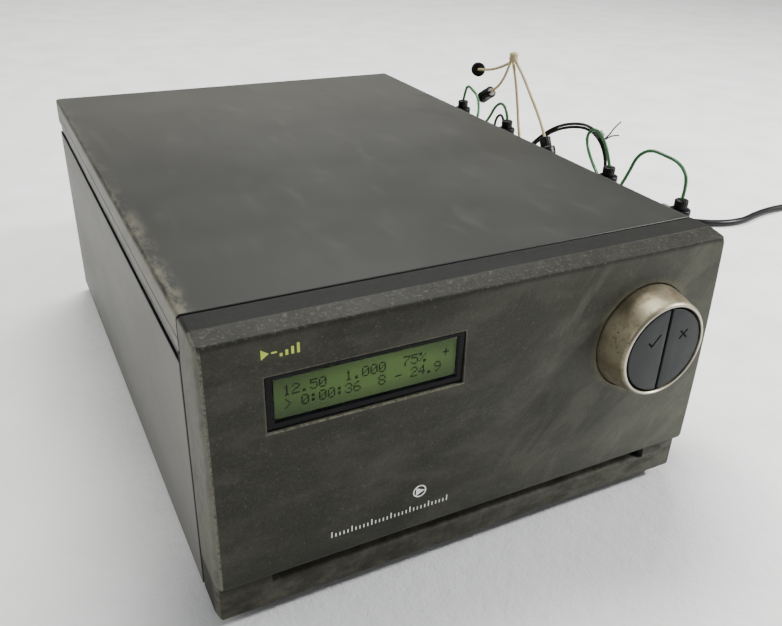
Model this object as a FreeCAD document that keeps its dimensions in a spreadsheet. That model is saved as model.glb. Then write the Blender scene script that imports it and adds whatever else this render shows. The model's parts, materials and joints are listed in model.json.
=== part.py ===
"""A bench pump module with four syringe-type pump heads, as a parametric assembly.

Millimetres. Every piece is drawn in the case's own frame: X across the case from its middle, Y back
from the chin of the front panel, Z up from the underside of the case. The origin_ cells then move each
piece into the row's frame: origin under the middle of the object, on the surface it stands on.
"""
import FreeCAD, Part
import math
import os
import re

import Sketcher
from FreeCAD import Placement, Rotation, Vector

DIMENSIONS = {
    # the case
    "case_width": 260.0,
    "case_depth": 367.0,
    "case_height": 142.0,
    "sheet": 1.2,
    "foot_height": 7.0,
    "foot_radius": 8.0,
    "foot_inset": 22.0,
    "cover_front": 22.5,
    "cover_flange": 16.0,
    "cover_bend": 2.0,
    "side_front": 26.0,
    "side_rear": 366.0,
    "side_top": 119.5,
    "rail_bottom": 121.0,
    "rail_inset": 0.8,
    "rail_width": 16.0,
    "sill_height": 14.0,
    "rear_plane": 363.5,
    # the moulded front panel
    "panel_depth": 25.4,
    "panel_wall": 3.0,
    "panel_top_edge": 8.5,
    "panel_edge_height": 140.4,
    "chin_height": 22.2,
    "slot_left": -105.0,
    "slot_right": 107.0,
    "slot_lip": 14.3,
    "slot_floor": 8.1,
    "slot_ramp": 12.3,
    "slot_depth": 20.4,
    # the display
    "window_left": -105.1,
    "window_right": -16.5,
    "window_bottom": 97.0,
    "window_top": 122.5,
    "glass_left": -101.2,
    "glass_right": -20.0,
    "glass_bottom": 101.2,
    "glass_top": 119.9,
    "bezel_front": -2.9,
    # the control knob and the two buttons inside it
    "knob_x": 84.3,
    "knob_z": 96.9,
    "knob_front": -19.1,
    "knob_back": -1.9,
    "knob_base_radius": 27.05,
    "knob_rim_radius": 24.47,
    "knob_bore": 22.4,
    "knob_recess": 27.75,
    "sleeve_outer": 11.5,
    "sleeve_inner": 9.5,
    "button_radius": 21.4,
    "button_gap": 0.9,
    "button_back": -10.0,
    # the four drives and pump heads, on axes along X
    "pair_front": 78.25,
    "pair_rear": 246.3,
    "pair_spacing": 59.4,
    "drive_height": 88.0,
    "drive_half": 22.0,
    "drive_left": -10.0,
    "drive_wall": 6.0,
    "drive_bore": 15.0,
    "motor_length": 52.0,
    "motor_half": 21.0,
    "screw_radius": 4.0,
    "plunger_radius": 3.0,
    "running_gap": 0.3,
    "rinse_face": 137.0,
    "head_face": 168.0,
    "head_radius": 19.0,
    "head_flat": 16.0,
    "port_x": 150.0,
    "valve_half": 6.0,
    "union_radius": 5.5,
    "union_bottom": 121.0,
    "union_top": 131.0,
    "nut_radius": 3.6,
    "nut_top": 138.8,
    "tube_radius": 1.0,
    # the mains inlet and its lead
    "inlet_x": 95.0,
    "inlet_z": 36.0,
    "lead_radius": 3.5,
    # where the case's frame stands in the row's frame
    "origin_x": -27.3,
    "origin_y": -175.3,
    "origin_z": 7.0,
}

doc = FreeCAD.newDocument("pump_module")
dims = doc.addObject("Spreadsheet::Sheet", "dims")
for row, (alias, number) in enumerate(DIMENSIONS.items(), start=1):
    dims.set(f"A{row}", alias)
    dims.set(f"B{row}", str(number))
    dims.setAlias(f"B{row}", alias)
doc.recompute()

TURN = {
    "x": Rotation(Vector(0, 1, 0), 90),
    "y": Rotation(Vector(1, 0, 0), -90),
    "z": Rotation(),
}
HEADS = [
    f"({pair} {side} pair_spacing / 2)" for pair in ("pair_front", "pair_rear") for side in "-+"
]
nodes = {}
placed = {}


# ---------------------------------------------------------------- helpers


def formula(text):
    """An expression in which every name of a driving dimension points at its cell."""
    name = re.compile(r"[a-z][a-z_]*")
    return name.sub(
        lambda word: "dims." + word.group() if word.group() in DIMENSIONS else word.group(), str(text)
    )


def size(alias):
    return float(getattr(dims, alias))


def bind(thing, **sizes):
    for prop, text in sizes.items():
        thing.setExpression(prop, formula(text))
    return thing


def place(thing, x, y, z):
    placed[thing.Name] = (x, y, z)
    for axis, text in zip("xyz", (x, y, z)):
        thing.setExpression("Placement.Base." + axis, formula(text))
    return thing


def box(x, y, z, name="block"):
    """A block between the two formulas given for each axis."""
    solid = doc.addObject("Part::Box", name)
    for side, (low, high) in zip(("Length", "Width", "Height"), (x, y, z)):
        bind(solid, **{side: f"({high}) - ({low})"})
    return place(solid, x[0], y[0], z[0])


def rod(axis, start, length, radius, name="rod"):
    """A cylinder that runs from start along one axis."""
    solid = doc.addObject("Part::Cylinder", name)
    solid.Placement = Placement(Vector(), TURN[axis])
    bind(solid, Radius=radius, Height=length)
    return place(solid, *start)


def prism(axis, start, length, across, name="hexagon"):
    """A hexagonal prism, across its flats."""
    solid = doc.addObject("Part::Prism", name)
    solid.Polygon = 6
    solid.Placement = Placement(Vector(), TURN[axis])
    bind(solid, Circumradius=f"({across}) / sqrt(3)", Height=length)
    return place(solid, *start)


def cone(axis, start, length, first, last, name="cone"):
    solid = doc.addObject("Part::Cone", name)
    solid.Placement = Placement(Vector(), TURN[axis])
    bind(solid, Radius1=first, Radius2=last, Height=length)
    return place(solid, *start)


def fuse(*solids, name="fuse"):
    joined = doc.addObject("Part::MultiFuse", name)
    joined.Shapes = list(solids)
    return joined


def cut(base, *tools, name="cut"):
    left = doc.addObject("Part::Cut", name)
    left.Base = base
    left.Tool = tools[0] if len(tools) == 1 else fuse(*tools, name=name + "_tools")
    return left


def group(solids, name="group"):
    together = doc.addObject("Part::Compound", name)
    together.Links = solids
    return together


def soften(base, radius, wanted, kind="Part::Fillet", name="soft"):
    """Rounds or bevels the edges of base for which wanted(edge) is true."""
    doc.recompute()
    eased = doc.addObject(kind, name)
    eased.Base = base
    eased.Edges = [(i, radius, radius) for i, edge in enumerate(base.Shape.Edges, 1) if wanted(edge)]
    return eased


def along(axis, shortest=0.0):
    """Picks straight edges that run along one axis."""
    way = {"x": Vector(1, 0, 0), "y": Vector(0, 1, 0), "z": Vector(0, 0, 1)}[axis]

    def wanted(edge):
        if edge.Curve.TypeId != "Part::GeomLine" or edge.Length < shortest:
            return False
        return abs(edge.tangentAt(edge.FirstParameter).dot(way)) > 0.999

    return wanted


def circles(radius):
    """Picks whole circles of one radius."""
    return lambda edge: edge.Curve.TypeId == "Part::GeomCircle" and abs(edge.Curve.Radius - radius) < 1e-4


def profile(body, plane, corners, name):
    """A closed sketch on one of the body's own planes, each corner bound to two formulas."""
    sketch = body.newObject("Sketcher::SketchObject", name)
    support = next(item for item in body.Origin.OriginFeatures if item.Role == plane)
    sketch.AttachmentSupport = [(support, "")]
    sketch.MapMode = "FlatFace"
    count = len(corners)
    rough = [Vector(10.0 * math.cos(i * 2 * math.pi / count), 10.0 * math.sin(i * 2 * math.pi / count), 0)
             for i in range(count)]
    for i in range(count):
        sketch.addGeometry(Part.LineSegment(rough[i], rough[(i + 1) % count]))
    for i in range(count):
        sketch.addConstraint(Sketcher.Constraint("Coincident", i, 2, (i + 1) % count, 1))
    for i, corner in enumerate(corners):
        for kind, text, start in zip(("DistanceX", "DistanceY"), corner, (rough[i].x, rough[i].y)):
            index = sketch.addConstraint(Sketcher.Constraint(kind, -1, 1, i, 1, start))
            sketch.setExpression(f"Constraints[{index}]", formula(text))
    doc.recompute()
    return sketch


def extrusion(name, plane, corners, length, middle="0"):
    """A body padded evenly both ways from a plane, then moved to middle along the plane's normal."""
    body = doc.addObject("PartDesign::Body", name)
    pad = body.newObject("PartDesign::Pad", name + "_pad")
    pad.Profile = profile(body, plane, corners, name + "_outline")
    pad.Midplane = True
    bind(pad, Length=length)
    doc.recompute()
    shift = {"YZ_Plane": (middle, "0", "0"), "XZ_Plane": ("0", middle, "0"), "XY_Plane": ("0", "0", middle)}
    return place(body, *shift[plane])


def turned(name, corners, axis, start):
    """A body revolved from (distance along the axis, radius) corners, about a line through start."""
    body = doc.addObject("PartDesign::Body", name)
    spin = body.newObject("PartDesign::Revolution", name + "_turned")
    sketch = profile(body, "XZ_Plane", corners, name + "_outline")
    spin.Profile = sketch
    spin.ReferenceAxis = (sketch, ["H_Axis"])
    spin.Angle = 360.0
    doc.recompute()
    body.Placement = Placement(Vector(), {"x": Rotation(), "y": Rotation(Vector(0, 0, 1), 90),
                                          "z": Rotation(Vector(0, 1, 0), -90)}[axis])
    return place(body, *start)


def shaped(shape):
    """A feature that holds a shape made in code, in the case's frame."""
    feature = doc.addObject("Part::Feature", "shaped")
    feature.Shape = shape
    return feature


def node(label, thing):
    """Names a finished piece and moves it into the row's frame."""
    start = placed.get(thing.Name, ("0", "0", "0"))
    for axis, text in zip("xyz", start):
        thing.setExpression("Placement.Base." + axis, formula(f"{text} + origin_{axis}"))
    thing.Label = label
    nodes[label] = thing
    return thing


def bend_radius(before, corner, after):
    """The radius of the arc that fits 0.45 of the shorter run on each side of a corner."""
    first, second = (before - corner), (after - corner)
    turn = math.pi - first.getAngle(second)
    return 0.45 * min(first.Length, second.Length) / math.tan(turn / 2), turn


def tube(label, points, radius):
    """A round tube along straight runs joined by tangent arcs, checked against section times length."""
    spots = [Vector(*point) for point in points]
    edges, radii, start = [], [], spots[0]
    for before, corner, after in zip(spots, spots[1:], spots[2:]):
        arc, turn = bend_radius(before, corner, after)
        radii.append(round(arc, 1))
        reach = arc * math.tan(turn / 2)
        enter = corner + (before - corner).normalize() * reach
        leave = corner + (after - corner).normalize() * reach
        inward = ((enter + leave) * 0.5 - corner).normalize()
        crown = corner + inward * (arc / math.cos(turn / 2) - arc)
        edges += [Part.LineSegment(start, enter).toShape(), Part.Arc(enter, crown, leave).toShape()]
        start = leave
    edges.append(Part.LineSegment(start, spots[-1]).toShape())
    path = Part.Wire(edges)
    section = Part.Wire(Part.Circle(spots[0], spots[1] - spots[0], radius).toShape())
    solid = path.makePipeShell([section], True, False)
    expected = math.pi * radius ** 2 * path.Length
    print(f"{label}: length {path.Length:.1f}, radii {radii}, volume ratio {solid.Volume / expected:.4f}")
    return solid


# ---------------------------------------------------------------- case


def make_base_tray():
    """The folded floor, whose left edge stands up as the whole left side and whose right edge is a sill."""
    left, right = "-case_width / 2", "case_width / 2"
    corners = [
        (left, "side_top"),
        (left, "0"),
        (right, "0"),
        (right, "sill_height"),
        (right + " - sheet", "sill_height"),
        (right + " - sheet", "sheet"),
        (left + " + sheet", "sheet"),
        (left + " + sheet", "side_top"),
    ]
    tray = extrusion("base_tray", "XZ_Plane", corners, "side_rear - side_front",
                     "(side_front + side_rear) / 2")
    slots = [box(("-70", "40"), (f"{90 + 14 * i}", f"{93 + 14 * i}"), ("-1", "sheet + 1")) for i in range(8)]
    node("base_tray", cut(tray, *slots))


def make_frame_rails():
    """Two folded angles that tie the front panel to the rear panel, just under the cover."""
    rails = []
    top = "case_height - 2 * sheet - 0.3"
    for side, low in ((-1, "rail_bottom"), (1, "case_height - cover_flange + 0.4")):
        outer = f"{side} * (case_width / 2 - rail_inset)"
        inner = f"{side} * (case_width / 2 - rail_inset - sheet)"
        flange = f"{side} * (case_width / 2 - rail_width)"
        corners = [(outer, low), (outer, top), (flange, top), (flange, top + " - sheet"),
                   (inner, top + " - sheet"), (inner, low)]
        rails.append(extrusion("rail", "XZ_Plane", corners, "rear_plane - panel_depth - 1",
                               "(rear_plane + panel_depth) / 2"))
    node("frame_rails", group(rails))


def make_top_cover():
    left, right, top = "-case_width / 2", "case_width / 2", "case_height"
    low = "case_height - cover_flange"
    corners = [(left, low), (left, top), (right, top), (right, low), (right + " - sheet / 2", low),
               (right + " - sheet / 2", top + " - sheet"), (left + " + sheet / 2", top + " - sheet"),
               (left + " + sheet / 2", low)]
    sheet = extrusion("cover_sheet", "XZ_Plane", corners, "case_depth - cover_front",
                      "(case_depth + cover_front) / 2")
    rear = box((left + " + 1", right + " - 1"), ("case_depth - sheet", "case_depth"),
               (low, top + " - sheet / 2"))
    whole = fuse(sheet, rear)
    edge = size("case_width") / 2

    def folds(item):
        middle = item.CenterOfMass
        outermost = abs(abs(middle.x) - edge) < 0.01 and middle.z > size("case_height") - 1
        return outermost and along("y", 100)(item)

    node("top_cover", soften(whole, size("cover_bend"), folds))


def make_right_panel():
    """The side that carries the wet parts, with a hole for each pump head and each cable gland."""
    face = ("case_width / 2 - sheet", "case_width / 2")
    plate = box(face, ("side_front", "side_rear"), ("sill_height + 0.4", "case_height - cover_flange - 0.4"))
    start = "case_width / 2 - sheet - 1"
    holes = [rod("x", (start, y, "drive_height"), "sheet + 2", "9") for y in HEADS]
    node("right_panel", cut(plate, *holes))


def make_rear_panel():
    face = ("rear_plane", "rear_plane + sheet")
    plate = box(("-case_width / 2 + sheet + 0.2", "case_width / 2 - sheet - 0.2"), face,
                ("sheet + 0.2", "case_height - 3 * sheet - 0.6"))
    opening = ("rear_plane - 1", "rear_plane + sheet + 1")
    inlet = box(("inlet_x - 14.2", "inlet_x + 14.2"), opening, ("inlet_z - 10.2", "inlet_z + 10.2"))
    switch = box(("inlet_x - 11", "inlet_x + 11"), opening, ("inlet_z + 19.8", "inlet_z + 34.2"))
    links = [box((f"{-96 + 44 * i}", f"{-64 + 44 * i}"), opening, ("31", "43")) for i in range(3)]
    vents = [box((f"{-100 + 9 * i}", f"{-97 + 9 * i}"), opening, ("78", "112")) for i in range(16)]
    node("rear_panel", cut(plate, inlet, switch, *links, *vents))


def make_feet():
    feet = []
    for x in ("-case_width / 2 + foot_inset", "case_width / 2 - foot_inset"):
        for y in ("side_front + foot_inset", "side_rear - foot_inset"):
            feet.append(cone("z", (x, y, "-foot_height"), "foot_height", "foot_radius - 1", "foot_radius"))
    node("feet", group(feet))


# ---------------------------------------------------------------- front panel


def make_front_panel():
    """A deep moulding with a slightly bulging face above a set-back chin, which has a finger slot."""
    corners = [
        ("panel_depth", "0"),
        ("panel_depth", "case_height - 1.6"),
        ("cover_front - 0.3", "case_height - 1.6"),
        ("cover_front - 0.3", "case_height"),
        ("panel_top_edge", "case_height"),
        ("-0.6", "panel_edge_height"),
        ("-1.6", "case_height - 3.4"),
        ("-2.6", "case_height - 14"),
        ("-3.3", "case_height - 30"),
        ("-4.0", "case_height - 60"),
        ("-4.3", "case_height - 90"),
        ("-4.1", "chin_height + 3"),
        ("-3.3", "chin_height"),
        ("0.2", "chin_height"),
        ("0", "chin_height - 1"),
        ("0", "3"),
        ("1", "0.9"),
        ("3", "0"),
    ]
    slab = extrusion("panel_slab", "YZ_Plane", corners, "case_width")
    hollow = box(("-case_width / 2 + panel_wall", "case_width / 2 - panel_wall"), ("0", "panel_depth + 1"),
                 ("chin_height + panel_wall", "case_height - panel_wall"))
    window = box(("window_left", "window_right"), ("-6", "1"), ("window_bottom", "window_top"))
    recess = rod("y", ("knob_x", "-6", "knob_z"), "4.7", "knob_recess")
    pass_through = rod("y", ("knob_x", "-6", "knob_z"), "20", "sleeve_outer + 0.5")
    grip = extrusion("grip_slot", "YZ_Plane", [
        ("-1", "slot_lip"), ("0", "slot_lip"), ("slot_ramp", "slot_floor"), ("slot_depth", "slot_floor"),
        ("slot_depth", "chin_height"), ("-1", "chin_height"),
    ], "slot_right - slot_left", "(slot_left + slot_right) / 2")
    rebates = [box((f"{side} * case_width / 2 - 1", f"{side} * case_width / 2 + 1"),
                   ("cover_front - 0.3", "panel_depth + 1"),
                   ("case_height - cover_flange - 0.3", "case_height")) for side in (-1, 1)]
    node("front_panel", cut(slab, hollow, window, recess, pass_through, grip, *rebates))


def make_display():
    """A dark bezel in the window, a clear pane, the liquid crystal glass and the board behind it."""
    frame = box(("window_left + 0.2", "window_right - 0.2"), ("bezel_front", "-0.2"),
                ("window_bottom + 0.2", "window_top - 0.2"))
    opening = box(("glass_left", "glass_right"), ("-6", "3"), ("glass_bottom", "glass_top"))
    node("display_bezel", cut(frame, opening))
    across, up = ("glass_left + 0.1", "glass_right - 0.1"), ("glass_bottom + 0.1", "glass_top - 0.1")
    node("display_window", box(across, ("bezel_front + 0.5", "bezel_front + 1.3"), up))
    node("display_glass", box(across, ("bezel_front + 1.5", "-0.2"), up))
    node("display_frame", box(("window_left + 2", "window_right - 2"), ("0", "8"),
                              ("window_bottom + 1", "window_top - 1")))
    board = box(("window_left - 8", "window_right + 8"), ("8", "9.6"),
                ("window_bottom - 12", "window_top + 8"))
    chips = [box((f"{x}", f"{x} + 14"), ("9.6", "12"), ("90", "98")) for x in (-100, -74, -48)]
    node("display_board", fuse(board, *chips))


# ---------------------------------------------------------------- knob and buttons


def make_knob():
    """A ring that turns about a fixed core; the core carries two half-round push buttons."""
    ring = turned("knob_profile", [
        ("knob_back", "knob_base_radius - 0.4"),
        ("-4", "knob_base_radius"),
        ("knob_front + 1.4", "knob_rim_radius + 0.25"),
        ("knob_front + 0.3", "knob_rim_radius - 0.3"),
        ("knob_front", "knob_rim_radius - 1"),
        ("knob_front + 0.3", "knob_bore + 0.3"),
        ("knob_front + 0.9", "knob_bore"),
        ("-5", "knob_bore"),
        ("-5", "sleeve_inner"),
        ("12", "sleeve_inner"),
        ("12", "sleeve_outer"),
        ("knob_back", "sleeve_outer"),
    ], "y", ("knob_x", "0", "knob_z"))
    node("knob_ring", ring)
    disc = rod("y", ("knob_x", "12", "knob_z"), "1.5", "20")
    bore = rod("y", ("knob_x", "11", "knob_z"), "4", "sleeve_inner")
    teeth = []
    for i in range(24):
        angle = math.radians(15 * i)
        slot = box(("-0.9", "0.9"), ("-1", "1.5 + 1"), ("15.5", "18.5"))
        slot.Placement.Rotation = Rotation(Vector(0, 1, 0), 15 * i)
        across, up = 0.9 * math.cos(angle), 0.9 * math.sin(angle)
        rise, lean = 15.5 * math.cos(angle), 15.5 * math.sin(angle)
        teeth.append(place(slot, f"knob_x + {lean - across:.4f}", "11", f"knob_z + {rise + up:.4f}"))
    node("encoder_disc", cut(disc, bore, *teeth))
    node("button_core", turned("core_profile", [
        ("-8", "0"), ("-8", "button_radius + 0.4"), ("-6", "button_radius + 0.4"),
        ("-6", "sleeve_inner - running_gap"), ("16", "sleeve_inner - running_gap"),
        ("16", "16"), ("18.5", "16"), ("18.5", "0"),
    ], "y", ("knob_x", "0", "knob_z")))
    for label, side in (("ok_button", -1), ("esc_button", 1)):
        disc = rod("y", ("knob_x", "knob_front + 0.4", "knob_z"), "button_back - knob_front - 0.4",
                   "button_radius")
        rim = circles(size("button_radius"))
        disc = soften(disc, 0.8, lambda edge: rim(edge) and edge.CenterOfMass.y < size("button_back") - 1)
        near, far = f"knob_x + {side} * button_gap / 2", f"knob_x - {side} * 30"
        other_half = (far, near) if side > 0 else (near, far)
        node(label, cut(disc, box(other_half, ("-30", "0"), ("knob_z - 30", "knob_z + 30"))))
    bracket = box(("knob_x - 34", "knob_x + 34"), ("18.5", "20"), ("knob_z - 30", "knob_z + 36"))
    node("knob_bracket", bracket)


# ---------------------------------------------------------------- electronics

# the power rocker rests with its off side pressed in
ROCKER_TILT = 10.0
# where the inlet's three pins stand, across and up from its middle
INLET_PINS = ((-7, -1.5), (0, 1.8), (7, -1.5))


def make_electronics():
    board = box(("-118", "-116.4"), ("50", "290"), ("14", "112"))
    chips = [box(("-116.4", f"{-113 + 2 * (i % 3)}"), (f"{62 + 36 * i}", f"{84 + 36 * i}"),
                 ("30", f"{52 + 6 * (i % 2)}")) for i in range(6)]
    caps = [rod("x", ("-116.4", f"{72 + 40 * i}", "86"), "14", "6") for i in range(5)]
    node("main_board", fuse(board, *chips, *caps))
    cage = box(("-110", "60"), ("301", "351"), ("8", "62"))
    node("power_supply", soften(cage, 1.5, along("z")))
    insert = box(("inlet_x - 14", "inlet_x + 14"), ("rear_plane - 22", "rear_plane + sheet + 0.4"),
                 ("inlet_z - 10", "inlet_z + 10"))
    flange = box(("inlet_x - 25", "inlet_x + 25"), ("rear_plane + sheet", "rear_plane + sheet + 2.2"),
                 ("inlet_z - 12", "inlet_z + 12"))
    socket = box(("inlet_x - 12.3", "inlet_x + 12.3"), ("rear_plane - 15", "rear_plane + sheet + 4"),
                 ("inlet_z - 8.3", "inlet_z + 8.3"))
    pins = [box((f"inlet_x + {x} - 1", f"inlet_x + {x} + 1"), ("rear_plane - 15", "rear_plane - 2"),
                (f"inlet_z + {z} - 2", f"inlet_z + {z} + 2")) for x, z in INLET_PINS]
    node("mains_inlet", group([cut(fuse(insert, flange), socket), *pins]))
    body = box(("inlet_x - 10.8", "inlet_x + 10.8"), ("rear_plane - 16", "rear_plane + sheet + 1.6"),
               ("inlet_z + 20", "inlet_z + 34"))
    well = box(("inlet_x - 9", "inlet_x + 9"), ("rear_plane - 8", "rear_plane + sheet + 4"),
               ("inlet_z + 21.6", "inlet_z + 32.4"))
    node("switch_body", cut(body, well))
    rocker = doc.addObject("Part::MultiCommon", "rocker")
    rocker.Shapes = [rod("z", ("0", "0", "0"), "10", "8.4"), box(("-9", "9"), ("-4.4", "4"), ("0", "10"))]
    rocker.Placement.Rotation = Rotation(Vector(0, 0, 1), -ROCKER_TILT)
    node("mains_rocker", place(rocker, "inlet_x", "rear_plane - 0.6", "inlet_z + 22"))
    shells = []
    for i in range(3):
        middle = -80 + 44 * i
        shell = box((f"{middle} - 15.8", f"{middle} + 15.8"), ("rear_plane - 10", "rear_plane + sheet + 5"),
                    ("31.2", "42.8"))
        well = box((f"{middle} - 12", f"{middle} + 12"), ("rear_plane + 2.6", "rear_plane + sheet + 6"),
                   ("33", "41"))
        shells.append(cut(soften(shell, 2.0, along("y")), well))
    node("link_sockets", group(shells))


# ---------------------------------------------------------------- drives


def make_drives():
    """Four motors, each with a screw that pushes a carriage and its plunger out through the side."""
    motors, housings = [], []
    left, half = "drive_left", "drive_half"
    for index, y in enumerate(HEADS, start=1):
        case = box((left + " - motor_length", left), (f"{y} - motor_half", f"{y} + motor_half"),
                   ("drive_height - motor_half", "drive_height + motor_half"))
        bore = rod("x", (left + " - motor_length / 2 - 10", y, "drive_height"), "motor_length",
                   "screw_radius + running_gap")
        motors.append(cut(soften(case, 4.0, along("x")), bore))
        block = box((left, "case_width / 2 - sheet"), (f"{y} - {half}", f"{y} + {half}"),
                    (f"drive_height - {half}", f"drive_height + {half}"))
        chamber = rod("x", (left + " + drive_wall", y, "drive_height"),
                      "case_width / 2 - sheet - 2 * drive_wall - drive_left", "drive_bore")
        tail = rod("x", (left + " - 1", y, "drive_height"), "drive_wall + 2", "screw_radius + running_gap")
        nose = rod("x", ("case_width / 2 - sheet - drive_wall - 1", y, "drive_height"), "drive_wall + 2",
                   "plunger_radius + running_gap")
        housings.append(cut(block, chamber, tail, nose))
        screw = rod("x", ("-40", y, "drive_height"), "98", "screw_radius")
        collar = rod("x", (left + " + drive_wall + 0.3", y, "drive_height"), "3", "8")
        node(f"lead_screw_{index}", fuse(screw, collar))
        guide = rod("x", ("18", y, "drive_height"), "20", "drive_bore - running_gap")
        shank = rod("x", ("38", y, "drive_height"), "26", "9")
        hollow = rod("x", ("17", y, "drive_height"), "43", "screw_radius + running_gap")
        carriage = cut(fuse(guide, shank), hollow)
        piston = rod("x", ("64", y, "drive_height"), "78", "plunger_radius")
        node(f"plunger_{index}", group([carriage, piston]))
    node("drive_motors", group(motors))
    node("drive_housings", group(housings))


# ---------------------------------------------------------------- wet side


def make_pump_heads():
    rinse, heads, screws, outlets, inlets = [], [], [], [], []
    top, bottom = "drive_height + head_flat", "drive_height - head_flat"
    bore = "plunger_radius + running_gap"
    for y in HEADS:
        disc = rod("x", ("case_width / 2", y, "drive_height"), "rinse_face - case_width / 2",
                   "head_radius - 2")
        bosses = [rod("y", ("case_width / 2 + 3.5", f"{y} {way}", "drive_height"), "5", "1.8")
                  for way in ("+ 16", "- 21")]
        through = rod("x", ("case_width / 2 - 1", y, "drive_height"), "10", bore)
        rinse.append(cut(fuse(disc, *bosses), through))
        block = rod("x", ("rinse_face", y, "drive_height"), "head_face - rinse_face", "head_radius")
        block = soften(block, 1.2, circles(size("head_radius")), "Part::Chamfer")
        across = (("rinse_face - 1", "head_face + 1"), (f"{y} - 20", f"{y} + 20"))
        above = box(*across, (top, top + " + 9"))
        below = box(*across, (bottom + " - 9", bottom))
        chamber = rod("x", ("rinse_face - 1", y, "drive_height"), "head_face - rinse_face - 3", bore)
        ports = rod("z", ("port_x", y, bottom + " - 1"), "2 * head_flat + 2", "1")
        heads.append(cut(block, above, below, chamber, ports))
        for i in range(4):
            turn = math.radians(45 + 90 * i)
            across, up = 13.5 * math.cos(turn), 13.5 * math.sin(turn)
            head = rod("x", ("head_face", f"{y} + {across:.4f}", f"drive_height + {up:.4f}"), "4", "3.5")
            key = prism("x", ("head_face + 1.5", f"{y} + {across:.4f}", f"drive_height + {up:.4f}"), "4", "3")
            screws.append(cut(head, key))
        hexagon = prism("z", ("port_x", y, top), "13", "2 * valve_half")
        collar = rod("z", ("port_x", y, top + " + 13"), "union_bottom - drive_height - head_flat - 13", "5")
        outlets.append(fuse(hexagon, collar))
        hexagon = prism("z", ("port_x", y, bottom + " - 13"), "13", "2 * valve_half")
        collar = rod("z", ("port_x", y, bottom + " - 18"), "5", "4.4")
        inlets.append(fuse(hexagon, collar))
    node("rinse_housings", group(rinse))
    node("pump_heads", group(heads))
    node("head_screws", group(screws))
    node("outlet_valves", group(outlets))
    node("inlet_valves", group(inlets))


def knurled(start, length, radius, ribs):
    """A short finger nut: a cylinder with straight grooves around it, standing on start."""
    body = rod("z", start, length, radius)
    grooves = []
    for i in range(ribs):
        turn = 2 * math.pi * i / ribs
        x = f"{start[0]} + ({radius} + 0.25) * {math.cos(turn):.5f}"
        y = f"{start[1]} + ({radius} + 0.25) * {math.sin(turn):.5f}"
        grooves.append(rod("z", (x, y, f"{start[2]} + 1"), f"{length} - 2", "0.6"))
    return cut(body, *grooves)


# the pressure cell's tilted port (y, z) and its angle, its side port, and the outlet blocks' ports
CELL_TILT = 25.0
CELL_PORT = (161.5, 115.0)
CELL_SIDE = (148.0, 190.5, 104.0)
MANIFOLD_PORTS = [(137.0, 87.5, 120.0), (137.0, 97.0, 120.0), (137.0, 231.0, 120.0), (137.0, 239.0, 120.0)]


def make_fittings():
    """The black unions and finger nuts on the outlets, and the tilted pair on the pressure cell."""
    unions, nuts = [], []
    for y in HEADS:
        unions.append(knurled(("port_x", y, "union_bottom"), "union_top - union_bottom", "union_radius", 16))
        nuts.append(knurled(("port_x", y, "union_top"), "nut_top - union_top", "nut_radius", 12))
    for made, start, length, radius, ribs in (
        (unions, "0", "12", "union_radius", 16),
        (nuts, "12", "8", "nut_radius", 12),
    ):
        part = knurled(("0", "0", start), length, radius, ribs)
        holder = group([part])
        holder.Placement.Rotation = Rotation(Vector(1, 0, 0), -CELL_TILT)
        made.append(place(holder, "port_x", f"{CELL_PORT[0]}", f"{CELL_PORT[1]}"))
    for x, y, z in MANIFOLD_PORTS:
        nuts.append(knurled((f"{x}", f"{y}", f"{z}"), "8", "nut_radius - 0.3", 12))
    nuts.append(knurled((f"{CELL_SIDE[0]}", f"{CELL_SIDE[1]}", f"{CELL_SIDE[2]}"), "8", "nut_radius", 12))
    node("outlet_unions", group(unions))
    node("tube_nuts", group(nuts))


def make_manifolds():
    """The pressure cell, the two outlet blocks with their purge knobs and the two inlet bars."""
    lower = box(("case_width / 2", "163"), ("155", "195"), ("76", "104"))
    upper = box(("case_width / 2", "163"), ("155", "174"), ("104", "113"))
    seat = group([rod("z", ("0", "0", "-5"), "5", "5")])
    seat.Placement.Rotation = Rotation(Vector(1, 0, 0), -CELL_TILT)
    place(seat, "port_x", f"{CELL_PORT[0]}", f"{CELL_PORT[1]}")
    cap = rod("x", ("163", "172", "89"), "5", "9")
    node("pressure_cell", fuse(lower, upper, seat, cap))
    blocks = []
    for index, middle in enumerate((92.25, 235.0), start=1):
        block = box(("case_width / 2", "143"), (f"{middle} - 10.5", f"{middle} + 10.5"), ("108.4", "120"))
        blocks.append(soften(block, 1.0, along("x")))
        shaft = rod("x", ("143.3", f"{middle}", "114.2"), "2", "3")
        grip = rod("x", ("145.3", f"{middle}", "114.2"), "9", "5.6")
        flutes = [rod("x", ("145", f"{middle} + {6.1 * math.cos(i * math.pi / 4):.4f}",
                            f"114.2 + {6.1 * math.sin(i * math.pi / 4):.4f}"), "8", "1.2") for i in range(8)]
        node(f"purge_knob_{index}", cut(fuse(shaft, grip), *flutes))
    node("outlet_manifolds", group(blocks))
    bars = []
    for pair in ("pair_front", "pair_rear"):
        bar = box(("case_width / 2", "158"), (f"{pair} - 40", f"{pair} + 40"), ("22", "36"))
        bar = soften(bar, 2.0, along("y"))
        barb = rod("y", ("144", f"{pair} + 40", "29"), "8", "3")
        ports = [rod("z", ("port_x", f"{pair} {way} pair_spacing / 2", "36"),
                     "drive_height - head_flat - 18 - 36", "3.4") for way in "-+"]
        bars.append(fuse(bar, barb, *ports))
    node("inlet_manifolds", group(bars))
    clip = soften(box(("case_width / 2", "156"), ("55.6", "70"), ("124", "133.4")), 2.5, along("x"))
    groove = rod("x", ("case_width / 2 - 1", "62.8", "134.4"), "30", "2.2")
    node("tube_clip", cut(clip, groove))


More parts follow.
